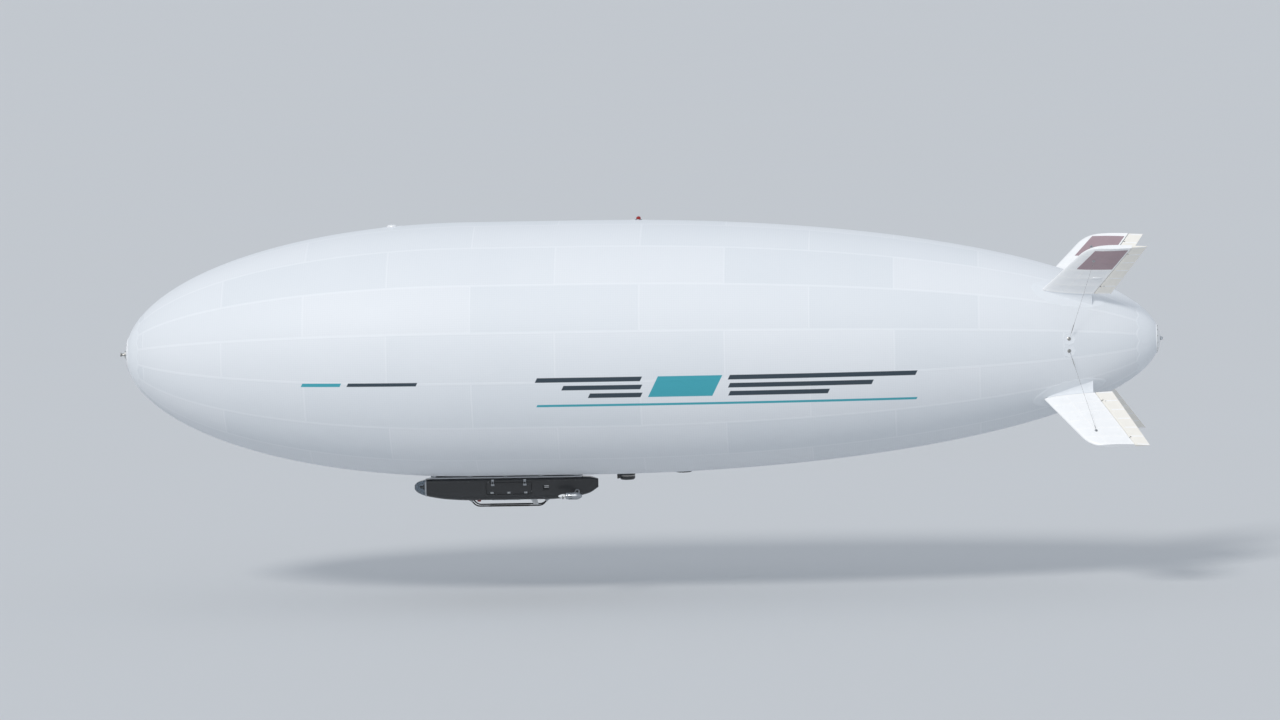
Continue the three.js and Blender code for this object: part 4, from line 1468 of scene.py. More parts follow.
@dataclass(frozen=True)
class HullFittings:
    """What stands on the hull: beacon, antenna, valves and the air blower."""

    beacon_x: float = -0.5
    antenna_x: float = 3.8
    blower_x: float = -0.220
    # Tables of profiles, in millimetres: radius and height
    beacon_base: tuple = ((61, -20), (62, 8), (60, 12.5), (56, 14), (44, 16), (41, 18), (41, 21), (5, 21))
    beacon_lens: tuple = ((38.5, 20.5), (38.5, 44), (35, 52), (28, 60), (16, 67))
    beacon_cap: tuple = ((17, 66), (16, 70), (10, 72), (2, 72.2))
    antenna_dome: tuple = (
        (94, -30), (95, 6), (93, 11), (87, 12.5), (84, 14), (83, 20), (78, 29), (68, 36), (50, 41),
        (26, 43.5), (4, 44),
    )
    drum: tuple = (
        (4, 20), (133, 20), (134.5, 4), (134.5, -80), (131, -90), (122, -101), (113, -108), (108, -110),
        (98, -108.5), (94, -111.5), (4, -112),
    )
    drum_band: tuple = ((134.8, -30), (136.2, -31), (136.2, -44), (134.8, -45))
    # The scoop and its hollow: place forward, half width, top, underside and both corners
    scoop: tuple = ((20, 70, 30, -88, 18, 28), (90, 84, 30, -92, 18, 28), (190, 92.5, 30, -96.5, 18, 28))
    lip: tuple = (
        (168, 94.5, 20, -99, 18, 30), (172, 95.5, 20, -100, 18, 30), (186, 95.5, 20, -100, 18, 30),
        (190, 94.5, 20, -99, 18, 30),
    )
    bore: tuple = ((105, 66, -14, -76, 14, 24), (150, 80, -14, -88, 14, 24), (200, 86, -14, -91.5, 14, 24))

    def stand(self, x: float, angle: float) -> Matrix:
        """The place of a round fitting, whose axis runs straight out of the hull's axis."""
        return spin(-angle, "X") @ shift(x, 0, HULL.radius_at(x))

    def doubler(self, name: str, x: float, angle: float, reach: float, lobes: int) -> None:
        """Lays a round patch of doubled cloth under a fitting, with a lobed edge."""
        edge = lobed(reach, reach, 0.05 * reach, lobes)
        HULL.lay_patch(Shape([PATCH_FABRIC]), x, angle, edge, 8 * lobes).dress(f"{name}_patch")

    def beacon(self) -> None:
        """Makes the red top beacon: alloy base, fluted lens and cap."""
        place = self.stand(self.beacon_x, 0)
        shape = Shape([RED_LENS, ALLOY, STEEL]).turned(mm(*self.beacon_base), place, 48, ALLOY)
        shape.screws(0.0045, circle(place, 6, 0.0515, 0.0145))
        shape.turned(mm(*self.beacon_lens), place, 144, flutes=24)
        shape.turned(mm(*self.beacon_cap), place, 32, ALLOY).dress("top_beacon_lens", "top_beacon")
        self.doubler("top_beacon", self.beacon_x, 0, 0.14, 12)

    def antenna(self) -> None:
        """Makes the white satellite antenna's flat dome."""
        place = self.stand(self.antenna_x, 0)
        shape = Shape([GELCOAT, STEEL]).turned(mm(*self.antenna_dome), place, 64)
        shape.screws(0.0036, circle(place, 8, 0.0895, 0.0115)).dress("gnss_antenna_dome", "gnss_antenna")
        self.doubler("gnss_antenna", self.antenna_x, 0, 0.19, 12)

    def valve(self, name: str, x: float, angle: float, rows: tuple, main: Finish) -> None:
        """Makes a round valve: clamp ring, sprung disc, spider and centre nut.

        Args:
            name: the node that it stands for.
            x: place along the hull.
            angle: degrees from the top.
            rows: radius of the rim, ring's height, disc's radius and height, top of the centre.
            main: its finish.
        """
        rim, tall, disc, low, crown = rows
        place = self.stand(x, angle)
        ring = [
            (rim, -0.03), (rim, tall - 0.005), (rim - 0.004, tall), (disc + 0.012, tall + 0.008),
            (disc + 0.004, tall + 0.009), (disc + 0.002, tall + 0.005), (disc + 0.002, -0.03),
        ]
        plate = [
            (disc, low - 0.008), (disc, low - 0.001), (disc - 0.003, low), (0.72 * disc, low - 0.003),
            (0.70 * disc, low + 0.001), (0.4 * disc, low + 0.0015), (0.01, low + 0.0015),
        ]
        centre = [
            (0.034, low), (0.035, crown - 0.010), (0.028, crown - 0.002), (0.012, crown - 0.001),
            (0.010, crown), (0.002, crown),
        ]
        shape = Shape([main, ALLOY]).turned(ring, place, 72, around=True).turned(plate, place, 72)
        bolts = circle(place, 12, (rim + disc) / 2 + 0.006, tall + 0.002)
        shape.screws(0.006, bolts, ALLOY).turned(centre, place, 40, ALLOY)
        for arm in (place @ spin(120 * i + degrees(0.3)) for i in range(3)):
            shape.block((0.0, -0.006, low - 0.002), (disc + 0.006, 0.006, low + 0.004), arm, ALLOY, 0.0015)
        shape.dress(f"{name}_ring", name)
        self.doubler(name, x, angle, rim + 0.07, 16)

    def blower(self) -> None:
        """Makes the fan's drum on the belly with its forward scoop, grille and clamp band."""
        place = shift(self.blower_x, 0, -HULL.radius)
        drum = Shape([CARBON, STEEL], place).turned(mm(*self.drum), segments=72)
        drum.turned(mm(*self.drum_band), segments=72, finish=STEEL, around=True)
        drum.screws(0.004, circle(DOWN, 8, 0.117, 0.1035, 0)).dress("air_blower_drum", "air_blower")
        scoop = Shape([CARBON], place).rings([ring_across(row) for row in smooth_rows(mm(*self.scoop), 8)])
        scoop.rings([ring_across(row) for row in mm(*self.lip)])
        scoop.cut(Shape().rings([ring_across(row) for row in mm(*self.bore)])).dress("air_blower_scoop")
        bars = Shape([STEEL], place)
        for y in (-0.066 + 0.022 * i for i in range(7)):
            bars.tube([(0.176, y, -0.010), (0.176, y, -0.090)], 0.0016, 8)
        for z in (-0.034, -0.058):
            bars.tube([(0.1745, -0.082, z), (0.1745, 0.082, z)], 0.0016, 8)
        bars.dress("air_blower_grille")
        self.doubler("air_blower", self.blower_x, 180, 0.25, 16)

    def build(self) -> None:
        """Builds them all."""
        self.beacon()
        self.antenna()
        self.valve("gas_valve", -2.1, 198, (0.165, 0.016, 0.118, 0.012, 0.038), GELCOAT)
        self.valve("air_valve", -1.2, 180, (0.145, 0.014, 0.106, 0.010, 0.014), ABS)
        self.blower()


BELLY = shift(1.9, 0, -HULL.radius)


@dataclass(frozen=True)
class KeelFrame:
    """Rails, cross members and pads that hang the gondola from the belly's load patches."""

    middle: float = 1.9
    side: float = 0.180
    width: float = 0.030
    top: float = -0.012
    bottom: float = -0.040
    half_length: float = 1.330
    stations: tuple = (-1.24, -0.62, 0.0, 0.62, 1.24)
    pad: float = 0.045
    pad_low: float = -0.018
    pad_bolts: float = 0.034
    rivets: int = 44
    rivet_pitch: float = 0.0602
    band_leans: tuple = (-0.24, 0.0, 0.24)

    def rails(self) -> None:
        """Makes the alloy frame with its pads and bolts."""
        shape = Shape([ALLOY, STEEL], BELLY)
        end, low = self.half_length, self.bottom
        outer = self.side + self.width / 2
        shape.block((-end, self.side - self.width / 2, low), (end, outer, self.top), chamfer=0.003)
        groove = (0.02 - end, outer - 0.001, low + 0.009), (end - 0.02, outer + 0.0015, low + 0.019)
        shape.block(*groove, chamfer=0.001)
        rivets = [0.03 - end + k * self.rivet_pitch for k in range(self.rivets)]
        shape.screws(0.0032, [aim((x, outer + 0.0012, low + 0.014), PORT) for x in rivets])
        for x in self.stations:
            self.stand_off(shape, x)
            across = (x - self.pad_bolts, x + self.pad_bolts)
            along = (self.side - self.pad_bolts, self.side + self.pad_bolts)
            shape.screws(0.0045, crossings(across, along, self.pad_low))
        shape.mirrored()
        for x in self.stations:
            shape.block((x - 0.015, -self.side, low + 0.004), (x + 0.015, self.side, self.top - 0.004))
        shape.dress("keel_frame_rails", "keel_frame")

    def stand_off(self, shape: Shape, x: float) -> None:
        """Adds one pad under the hull: a machined block with two flanges and a narrower waist.

        Args:
            shape: the shape that gets it.
            x: its place along the frame.
        """
        low = self.pad_low
        reach = self.side + self.pad
        high = HULL.radius - sqrt(HULL.radius_at(self.middle + x) ** 2 - reach**2)
        flange = min(0.009, (high - low) * 0.3)
        levels = (
            (0.043, low), (self.pad, low + 0.002), (self.pad, low + flange - 0.002), (0.043, low + flange),
            (0.034, low + flange + 0.003), (0.034, high - flange - 0.003), (0.043, high - flange),
            (self.pad, high - flange + 0.002), (self.pad, high),
        )
        rings = []
        for half, z in levels:
            corner, other = (x - half, self.side - half), (x + half, self.side + half)
            plan = rounded(corner, other, 0.3 * half, 0.3 * half, 1)
            rings.append([Vector((a, b, min(max(z, low), high))) for a, b in plan])
        shape.rings(rings)

    def load_patches(self) -> None:
        """Lays the doubled cloth along the belly and a fan of webbing from each pad."""
        edge = lobed(1.72, 0.60, 0.03, 16, abs)
        HULL.lay_patch(Shape([PATCH_FABRIC]), self.middle, 180, edge, 256).dress("belly_load_patch")
        bands = Shape([WEBBING])
        for x in (self.middle + x for x in self.stations):
            for lean in self.band_leans:
                HULL.lay_band(bands, (x, 173.9), (x + lean, 165.8 + 3.2 * abs(lean)))
        bands.mirrored().dress("belly_load_webbing")

    def build(self) -> None:
        """Builds the frame and what spreads its load."""
        self.rails()
        self.load_patches()


@dataclass(frozen=True)
class Gondola:
    """The hollow gondola with its hatches, window, camera, skids and belly fittings."""

    wall: float = 0.012
    side: float = 0.250
    joint: float = 1.400
    rear_bay: float = -1.540
    floor: float = -0.420
    shaft_x: float = -1.250
    shaft_z: float = -0.290
    shaft_radius: float = 0.0259
    hatch_front: float = 0.340
    hatch_rear: float = -0.460
    hatch_top: float = -0.104
    hatch_bottom: float = -0.318
    hatch_gap: float = 0.006
    hatch_corner: float = 0.030
    axis_out: float = 0.011
    axis_up: float = 0.014
    hinges: tuple = (0.220, -0.340)
    latches: tuple = (0.235, -0.06, -0.355)
    louvres: tuple = (-0.175, -0.200, -0.225, -0.250)
    straps: tuple = (-0.10, 0.17, 0.44)
    window_screws: int = 22
    skid_side: float = 0.150
    skid_front: float = 0.660
    skid_rear: float = -0.780
    skid_drop: float = 0.105
    # Columns: place along it, half width, top, underside, upper corner, lower corner
    sections: tuple = (
        (1.600, 0.046, -0.150, -0.235, 0.028, 0.034),
        (1.560, 0.092, -0.108, -0.276, 0.044, 0.060),
        (1.470, 0.146, -0.074, -0.320, 0.052, 0.084),
        (1.300, 0.196, -0.0403, -0.362, 0.044, 0.092),
        (1.000, 0.236, -0.0403, -0.402, 0.040, 0.092),
        (0.640, 0.250, -0.0403, -0.420, 0.040, 0.092),
        (-0.760, 0.250, -0.0403, -0.420, 0.040, 0.092),
        (-1.150, 0.214, -0.0403, -0.392, 0.040, 0.084),
        (-1.450, 0.140, -0.0483, -0.330, 0.036, 0.064),
        (-1.600, 0.062, -0.084, -0.240, 0.024, 0.040),
    )
    # Tables in millimetres. Turned parts: radius and height. Strips: outwards and along the surface
    collar: tuple = (
        (26.2, 166), (44, 166), (44, 206), (42, 209.5), (30, 210), (29, 211.5), (26.2, 211.5),
    )
    seam: tuple = ((-3, 8), (1.2, 8), (2, 7), (2, -7), (1.2, -8), (-3, -8))
    rim: tuple = ((-1, -11), (2.2, -11), (3, 0), (2.2, 6), (-1, 7))
    clamp: tuple = ((-0.5, 13), (3, 13), (4.2, 11), (4.2, -13), (3, -15), (-0.5, -15))
    vent_frame: tuple = ((0, 4), (0, -3), (-2, -5), (-10, -5), (-12, -3), (-12, 4))
    vent_slat: tuple = ((-4.5, 0), (-4, 2), (4, 11), (4, 8), (-3.5, -2))
    lens_barrel: tuple = (
        (23.5, 55), (24, 70), (22.5, 70.5), (22.5, 74), (24, 74.5), (24, 100), (22.5, 104.5),
        (20.5, 105), (19, 98), (17, 92), (2, 92),
    )
    lens_glass: tuple = ((17.2, 93), (16.5, 95.5), (12, 98), (6, 99.2), (1, 99.5))
    skid_socket: tuple = ((21, -6), (20, 4), (15.5, 12), (14.5, 30), (12.5, 31))
    # The blade antenna: depth below the floor, leading edge, trailing edge, thickness
    blade_rows: tuple = (
        (0, 60, -50, 10.4), (50, 34.5, -63.6, 9.4), (90, 13.5, -74.5, 8), (106, -2, -78.5, 6.2),
        (113, -20, -80, 4.5), (115.5, -40, -79.5, 3),
    )

    @property
    def axis(self) -> tuple[float, float]:
        """The hatch's hinge axis: its place across and its height."""
        return self.side + self.axis_out, self.hatch_top + self.axis_up

    @property
    def shaft_place(self) -> Matrix:
        """The place of the cross tube: Z runs to port."""
        return shift(self.shaft_x, 0, self.shaft_z) @ spin(-90, "X")

    def section_at(self, x: float) -> list[float]:
        """Finds the smoothed section at a place along the gondola.

        Args:
            x: the place.

        Returns:
            A row like those of the sections.
        """
        rows = smooth_rows(self.sections, 12)
        after = next((i for i, row in enumerate(rows) if row[0] <= x), len(rows) - 1)
        low, high = rows[after], rows[max(after - 1, 0)]
        part = (x - low[0]) / (high[0] - low[0]) if after else 0.0
        return between(low, high, part)

    def loft(self, inset: float, front: float, back: float) -> list[list[Vector]]:
        """The body's rings from front to back, drawn in by an inset."""
        inside = [row for row in smooth_rows(self.sections, 6) if back + 1e-6 < row[0] < front - 1e-6]
        return [ring_across(row, -inset) for row in (self.section_at(front), *inside, self.section_at(back))]

    def side_wall(self, x: float, z: float) -> float:
        """Finds the shell's half width, which shrinks in the lower corner's curve.

        Args:
            x: place along the gondola.
            z: height.

        Returns:
            The half width.
        """
        _, half, _, bottom, _, lower = self.section_at(x)
        below = max(bottom + lower - z, 0.0)
        return half - lower + sqrt(max(lower**2 - below**2, 0.0))

    def hatch_plan(self, grow: float) -> tuple[tuple[float, float], tuple[float, float], float]:
        """The hatch opening, grown on all sides: its lowest and highest corner and their radius."""
        low = (self.hatch_rear - grow, self.hatch_bottom - grow)
        return low, (self.hatch_front + grow, self.hatch_top + grow), self.hatch_corner + grow

    def shell(self) -> None:
        """Makes the hollow carbon shell with its openings."""
        shape = Shape([CARBON], BELLY).rings(self.loft(0.0, self.joint, self.sections[-1][0]))
        shape.cut(Shape().rings(self.loft(self.wall, self.joint + 0.05, self.rear_bay)))
        shape.cut(Shape().block((-1.0, -0.15, -0.12), (1.15, 0.15, 0.02)))
        openings = Shape().rings(slab(*self.hatch_plan(0.0), 0.1, 0.4))
        for z in self.louvres:
            openings.rings(slab((-0.755, z - 0.005), (-0.645, z + 0.005), 0.0048, 0.2, 0.3))
        shape.cut(openings.mirrored())
        bore = [(self.shaft_radius, -0.4), (self.shaft_radius, 0.4)]
        shape.cut(Shape().turned(bore, self.shaft_place, 48)).dress("gondola_shell_carbon", "gondola_shell")

    def shell_details(self) -> None:
        """Adds the bearing collars, seam strips, hatch rims, hinge lugs and screws."""
        shape = Shape([CARBON, ALLOY, STEEL], BELLY)
        shape.turned(mm(*self.collar), self.shaft_place, 48, ALLOY, around=True)
        shape.screws(0.0038, circle(self.shaft_place, 6, 0.037, 0.2093))
        y, z = self.axis
        for x in self.hinges:
            hinge = shift(x, y, z) @ spin(90, "Y")
            shape.turned(mm((3.6, -10), (8, -10), (8, 10), (3.6, 10)), hinge, 24, ALLOY, around=True)
            for low, high in (
                ((-0.010, 0.246, z - 0.006), (0.010, y - 0.0065, z + 0.006)),
                ((-0.022, 0.249, z), (0.022, 0.2525, z + 0.034)),
            ):
                shape.block(low, high, shift(x, 0, 0), ALLOY, 0.001)
            shape.screws(0.0034, [aim((x + dx, 0.2522, z + 0.022), PORT) for dx in (-0.014, 0.014)])
        rows = [row for row in smooth_rows(self.sections, 4) if -1.36 < row[0] < 1.36]
        spots = [(x, half, top - upper - 0.010) for x, half, top, _, upper, _ in rows]
        shape.rings([[Vector((x, y + out, z + up)) for out, up in mm(*self.seam)] for x, y, z in spots])
        shape.screws(0.0036, [aim((x, y + 0.0016, z), PORT) for x, y, z in spots])
        rings = []
        for out, grow in mm(*self.rim):
            low, high, corner = self.hatch_plan(0.012 + grow)
            ring = []
            for x, z in rounded(low, high, corner, corner, 6):
                wall = self.side_wall(x, z)
                flat = wall > self.side - 0.0005
                ring.append(Vector((x, (self.side if flat else wall) + out, z)))
            rings.append(ring)
        shape.rings(rings, around=True).mirrored().dress("gondola_details")

    def rear_vent(self) -> None:
        """Makes the vent on the gondola's blunt tail: a moulded frame, slats and four screws."""
        x, half, top, bottom, *corners = self.sections[-1]
        shape = Shape([ABS, STEEL], BELLY)
        rows = [((x + back, half, top, bottom, *corners), out) for out, back in mm(*self.vent_frame)]
        shape.rings([ring_across(row, out) for row, out in rows], around=True)
        for z in (bottom + 0.030 + 0.0195 * k for k in range(6)):
            slat = [(x + back, z + up) for back, up in mm(*self.vent_slat)]
            shape.rings([[Vector((a, y, b)) for a, b in slat] for y in (0.011 - half, half - 0.011)])
        across, up = (0.034 - half, half - 0.034), (top - 0.0062, bottom + 0.0062)
        spots = [(x - 0.0045, y, z) for y in across for z in up]
        shape.screws(0.003, [aim(spot, (-1, 0, 0)) for spot in spots]).dress("gondola_rear_vent")

    def window(self) -> None:
        """Makes the smoked nose window and the clamp frame that holds it."""
        nose, joint = self.sections[0][0], self.joint
        pane = Shape([SMOKED], BELLY).rings(self.loft(0.0, nose, joint + 0.0006))
        pane.cut(Shape().rings(self.loft(0.0055, nose - 0.006, joint - 0.02)))
        pane.dress("nose_window_acrylic", "nose_window")
        shape = Shape([ALLOY, STEEL], BELLY)
        rings = [ring_across(self.section_at(joint + x), out) for out, x in mm(*self.clamp)]
        shape.rings(rings, around=True)
        _, half, top, bottom, *corners = self.section_at(joint)
        proud = 0.0038
        plan = rounded((-half - proud, bottom - proud), (half + proud, top + proud), *corners, 16)
        loop = [Vector((joint - 0.001, y, z)) for y, z in plan]
        shape.screws(0.004, round_loop(loop, self.window_screws)).dress("nose_window_frame")

    def camera_unit(self) -> None:
        """Makes the forward camera and the bulkhead that carries it."""
        joint = self.joint
        shape = Shape([ABS, CLEAR_LENS, STEEL, PALE_ABS], BELLY)
        plan = (*self.section_at(joint - 0.004)[1:4], 0.0425, 0.0725)
        shape.rings([ring_across((x, *plan), -0.0125) for x in (joint - 0.008, joint)], PALE_ABS)
        shape.block((joint + 0.0003, -0.040, -0.235), (joint + 0.052, 0.040, -0.155), chamfer=0.005)
        shape.block((joint + 0.050, -0.034, -0.229), (joint + 0.060, 0.034, -0.161), chamfer=0.004)
        lens = shift(joint, 0, -0.195) @ spin(90, "Y")
        shape.turned(mm(*self.lens_barrel), lens, 48).turned(mm(*self.lens_glass), lens, finish=CLEAR_LENS)
        spots = [(joint + 0.0598, y, z) for y in (-0.028, 0.028) for z in (-0.223, -0.167)]
        shape.screws(0.003, [aim(spot, (1, 0, 0)) for spot in spots])
        shape.dress("forward_camera_unit", "forward_camera")

    def battery(self) -> None:
        """Makes the battery pack with its lid seam and straps."""
        place = BELLY @ shift(0, 0, self.floor + self.wall + 0.0003)
        shape = Shape([POWDER, WEBBING], place)
        for x in self.straps:
            low, high = (x - 0.019, 0.1495, 0.004), (x + 0.019, 0.1520, 0.149)
            shape.block(low, high, finish=WEBBING, chamfer=0.0008)
        shape.mirrored()
        for x in self.straps:
            low, high = (x - 0.019, -0.151, 0.1485), (x + 0.019, 0.151, 0.1505)
            shape.block(low, high, finish=WEBBING, chamfer=0.0008)
        shape.block((-0.280, -0.150, 0.0), (0.620, 0.150, 0.112), chamfer=0.006)
        shape.block((-0.277, -0.147, 0.113), (0.617, 0.147, 0.149), chamfer=0.008)
        shape.dress("battery_pack_case", "battery_pack")

    def hatch(self, side: Side) -> None:
        """Makes one side hatch with its arms, hinge pins, raised field and latches.

        Args:
            side: which side.
        """
        body = f"hatch_{side.value}"
        place = BELLY @ side.turn
        low, high, corner = self.hatch_plan(-self.hatch_gap)
        panel = Shape([CARBON], place).rings(slab(low, high, corner, 0.2385, self.side))
        panel.change("BEVEL", width=0.002, segments=2).dress(f"{body}_panel", body, body=body)
        shape = Shape([CARBON, ALLOY, STEEL], place)
        edges = (low[0] + 0.035, low[1] + 0.035), (high[0] - 0.035, high[1] - 0.045)
        shape.rings(slab(*edges, 0.02, 0.2490, 0.2515))
        y, z = self.axis
        top = self.hatch_top
        for x in self.hinges:
            hinge = shift(x, y, z) @ spin(90, "Y")
            shape.turned(mm((2.9, -18), (2.9, 18)), hinge, 20, STEEL)
            for end in (-0.0195, 0.018):
                shape.turned([(0.0055, end), (0.0055, end + 0.0015)], hinge, 6, STEEL)
            for middle in (-0.017, 0.017):
                arm, knuckle = shift(x + middle, 0, 0), hinge @ shift(0, 0, middle)
                outer = y + 0.0045
                flat, web = (-0.0045, 0.2495, top - 0.060), (-0.0045, y - 0.004, top - 0.020)
                shape.block(flat, (0.0045, outer, top - 0.004), arm, ALLOY, 0.0012)
                shape.block(web, (0.0045, outer, z), arm, ALLOY, 0.0012)
                ring = mm((3.2, -4.5), (7.2, -4.5), (7.2, 4.5), (3.2, 4.5))
                shape.turned(ring, knuckle, 24, ALLOY, around=True)
            plate = (x - 0.030, 0.2496, top - 0.062), (x + 0.030, 0.2530, top - 0.034)
            shape.block(*plate, finish=ALLOY, chamfer=0.001)
            spots = [(x + dx, 0.2527, top - 0.048) for dx in (-0.024, 0.0, 0.024)]
            shape.screws(0.0032, [aim(spot, PORT) for spot in spots])
        base = self.hatch_bottom + 0.030
        for x in self.latches:
            plate = (x - 0.026, 0.2496, base - 0.016), (x + 0.026, 0.2525, base + 0.016)
            shape.block(*plate, finish=ALLOY, chamfer=0.001)
            knob = aim((x, 0.2522, base), PORT)
            shape.turned(mm((12, 0), (12, 4), (10, 6), (2, 6)), knob, 32, STEEL)
            shape.block((-0.010, -0.0022, 0.0055), (0.010, 0.0022, 0.0095), knob, STEEL, 0.0008)
        shape.dress(f"{body}_fittings", body=body)

    def skid(self, side: Side) -> None:
        """Makes one landing skid: bent carbon tube, feet, clamps and wear sleeve.

        Args:
            side: which side.
        """
        place = Matrix.Translation(BELLY @ side.turn @ Vector((0, self.skid_side, self.floor)))
        low, high, up = -self.skid_drop, -0.010, 0.045 - self.skid_drop
        front, rear = self.skid_front - 0.060, self.skid_rear + 0.060
        path = [(front, high), *bend((front - 0.045, up), (front - 0.090, low), (front - 0.150, low))]
        path += [*bend((rear + 0.150, low), (rear + 0.090, low), (rear + 0.045, up)), (rear, high)]
        shape = Shape([CARBON_TUBE, NEOPRENE, ALLOY, STEEL], place)
        shape.tube([(x, 0, z) for x, z in path], 0.012, 24)
        shape.tube([(x, 0, low) for x in (0.30, 0.29, -0.40, -0.41)], 0.0136, 24, NEOPRENE)
        for x, lean in ((front, -0.55), (rear, 0.55)):
            shape.block((x - 0.040, -0.028, -0.008), (x + 0.040, 0.028, -0.0003), finish=ALLOY)
            shape.turned(mm(*self.skid_socket), aim((x, 0, -0.008), (lean, 0, -1)), 32, ALLOY)
            shape.screws(0.004, crossings((x - 0.030, x + 0.030), (-0.019, 0.019), -0.008))
        shape.dress(f"skid_{side.value}_tube", f"skid_{side.value}")

    def payload_plate(self) -> None:
        """Makes the payload plate with its holes, and its screws."""
        place = BELLY @ shift(0, 0, self.floor)
        plate = Shape([ALLOY], place)
        plate.block((-0.250, -0.110, -0.010), (0.250, 0.110, -0.0003), chamfer=0.0015)
        holes = Shape()
        for spot in crossings((-0.20, -0.10, 0.0, 0.10, 0.20), (-0.085, 0.085), 0):
            holes.turned(mm((4.3, -20), (4.3, 20)), spot, 20)
        for x, y in ((x, y) for x in (-0.18, 0.12) for y in (-0.04, 0.04)):
            holes.tube([(x, y, -0.02), (x, y, 0.02)], 0.004, 20)
        plate.cut(holes).dress("payload_plate_alloy", "payload_plate")
        screws = crossings((-0.235, 0.235), (-0.09, 0.0, 0.09), -0.0099)
        Shape([STEEL], place).screws(0.0045, screws).dress("payload_plate_screws")

    def blade(self) -> None:
        """Makes the swept blade antenna with its aerofoil section and oval base."""
        shape = Shape([GELCOAT, STEEL], BELLY @ shift(-0.480, 0, self.floor - 0.0003))
        rings = []
        for deep, lead, trail, thick in mm(*self.blade_rows):
            ring = []
            for a in (2 * pi * i / 28 for i in range(28)):
                fat = thick / 2 * sin(a) * (1.15 + 0.35 * cos(a))
                ring.append(Vector(((lead + trail) / 2 + (lead - trail) / 2 * cos(a), fat, -deep)))
            rings.append(ring)
        shape.rings(rings)
        rings = []
        for deep, cut in mm((0, 0), (4, 0), (6.5, 3.5)):
            wide, straight = 0.023 - cut, 0.053
            arc = [radians(15 * i - 90) for i in range(13)]
            end = [Vector((straight + wide * cos(a), wide * sin(a), -deep)) for a in arc]
            rings.append([*end, *(Vector((-point.x, -point.y, point.z)) for point in end)])
        shape.rings(rings).screws(0.0028, crossings((-0.0552, 0.06256), (-0.009, 0.009), -0.0058))
        shape.dress("blade_antenna_moulding", "blade_antenna")

    def beacon(self) -> None:
        """Makes the red belly beacon."""
        shape = Shape([RED_LENS, ALLOY], BELLY @ shift(0.480, 0, self.floor - 0.0003) @ DOWN)
        shape.turned(mm((46, 0), (46, 7), (43, 10), (37, 11.5), (4, 11.5)), segments=48, finish=ALLOY)
        shape.turned(mm((34.5, 11.2), (34, 26), (29, 36), (18, 42), (4, 44)), segments=120, flutes=20)
        shape.dress("belly_beacon_lens", "belly_beacon")

    def build(self) -> None:
        """Builds the gondola and all that it carries."""
        self.shell()
        self.shell_details()
        self.rear_vent()
        self.window()
        self.camera_unit()
        self.battery()
        for side in Side:
            self.hatch(side)
            self.skid(side)
        self.payload_plate()
        self.blade()
        self.beacon()


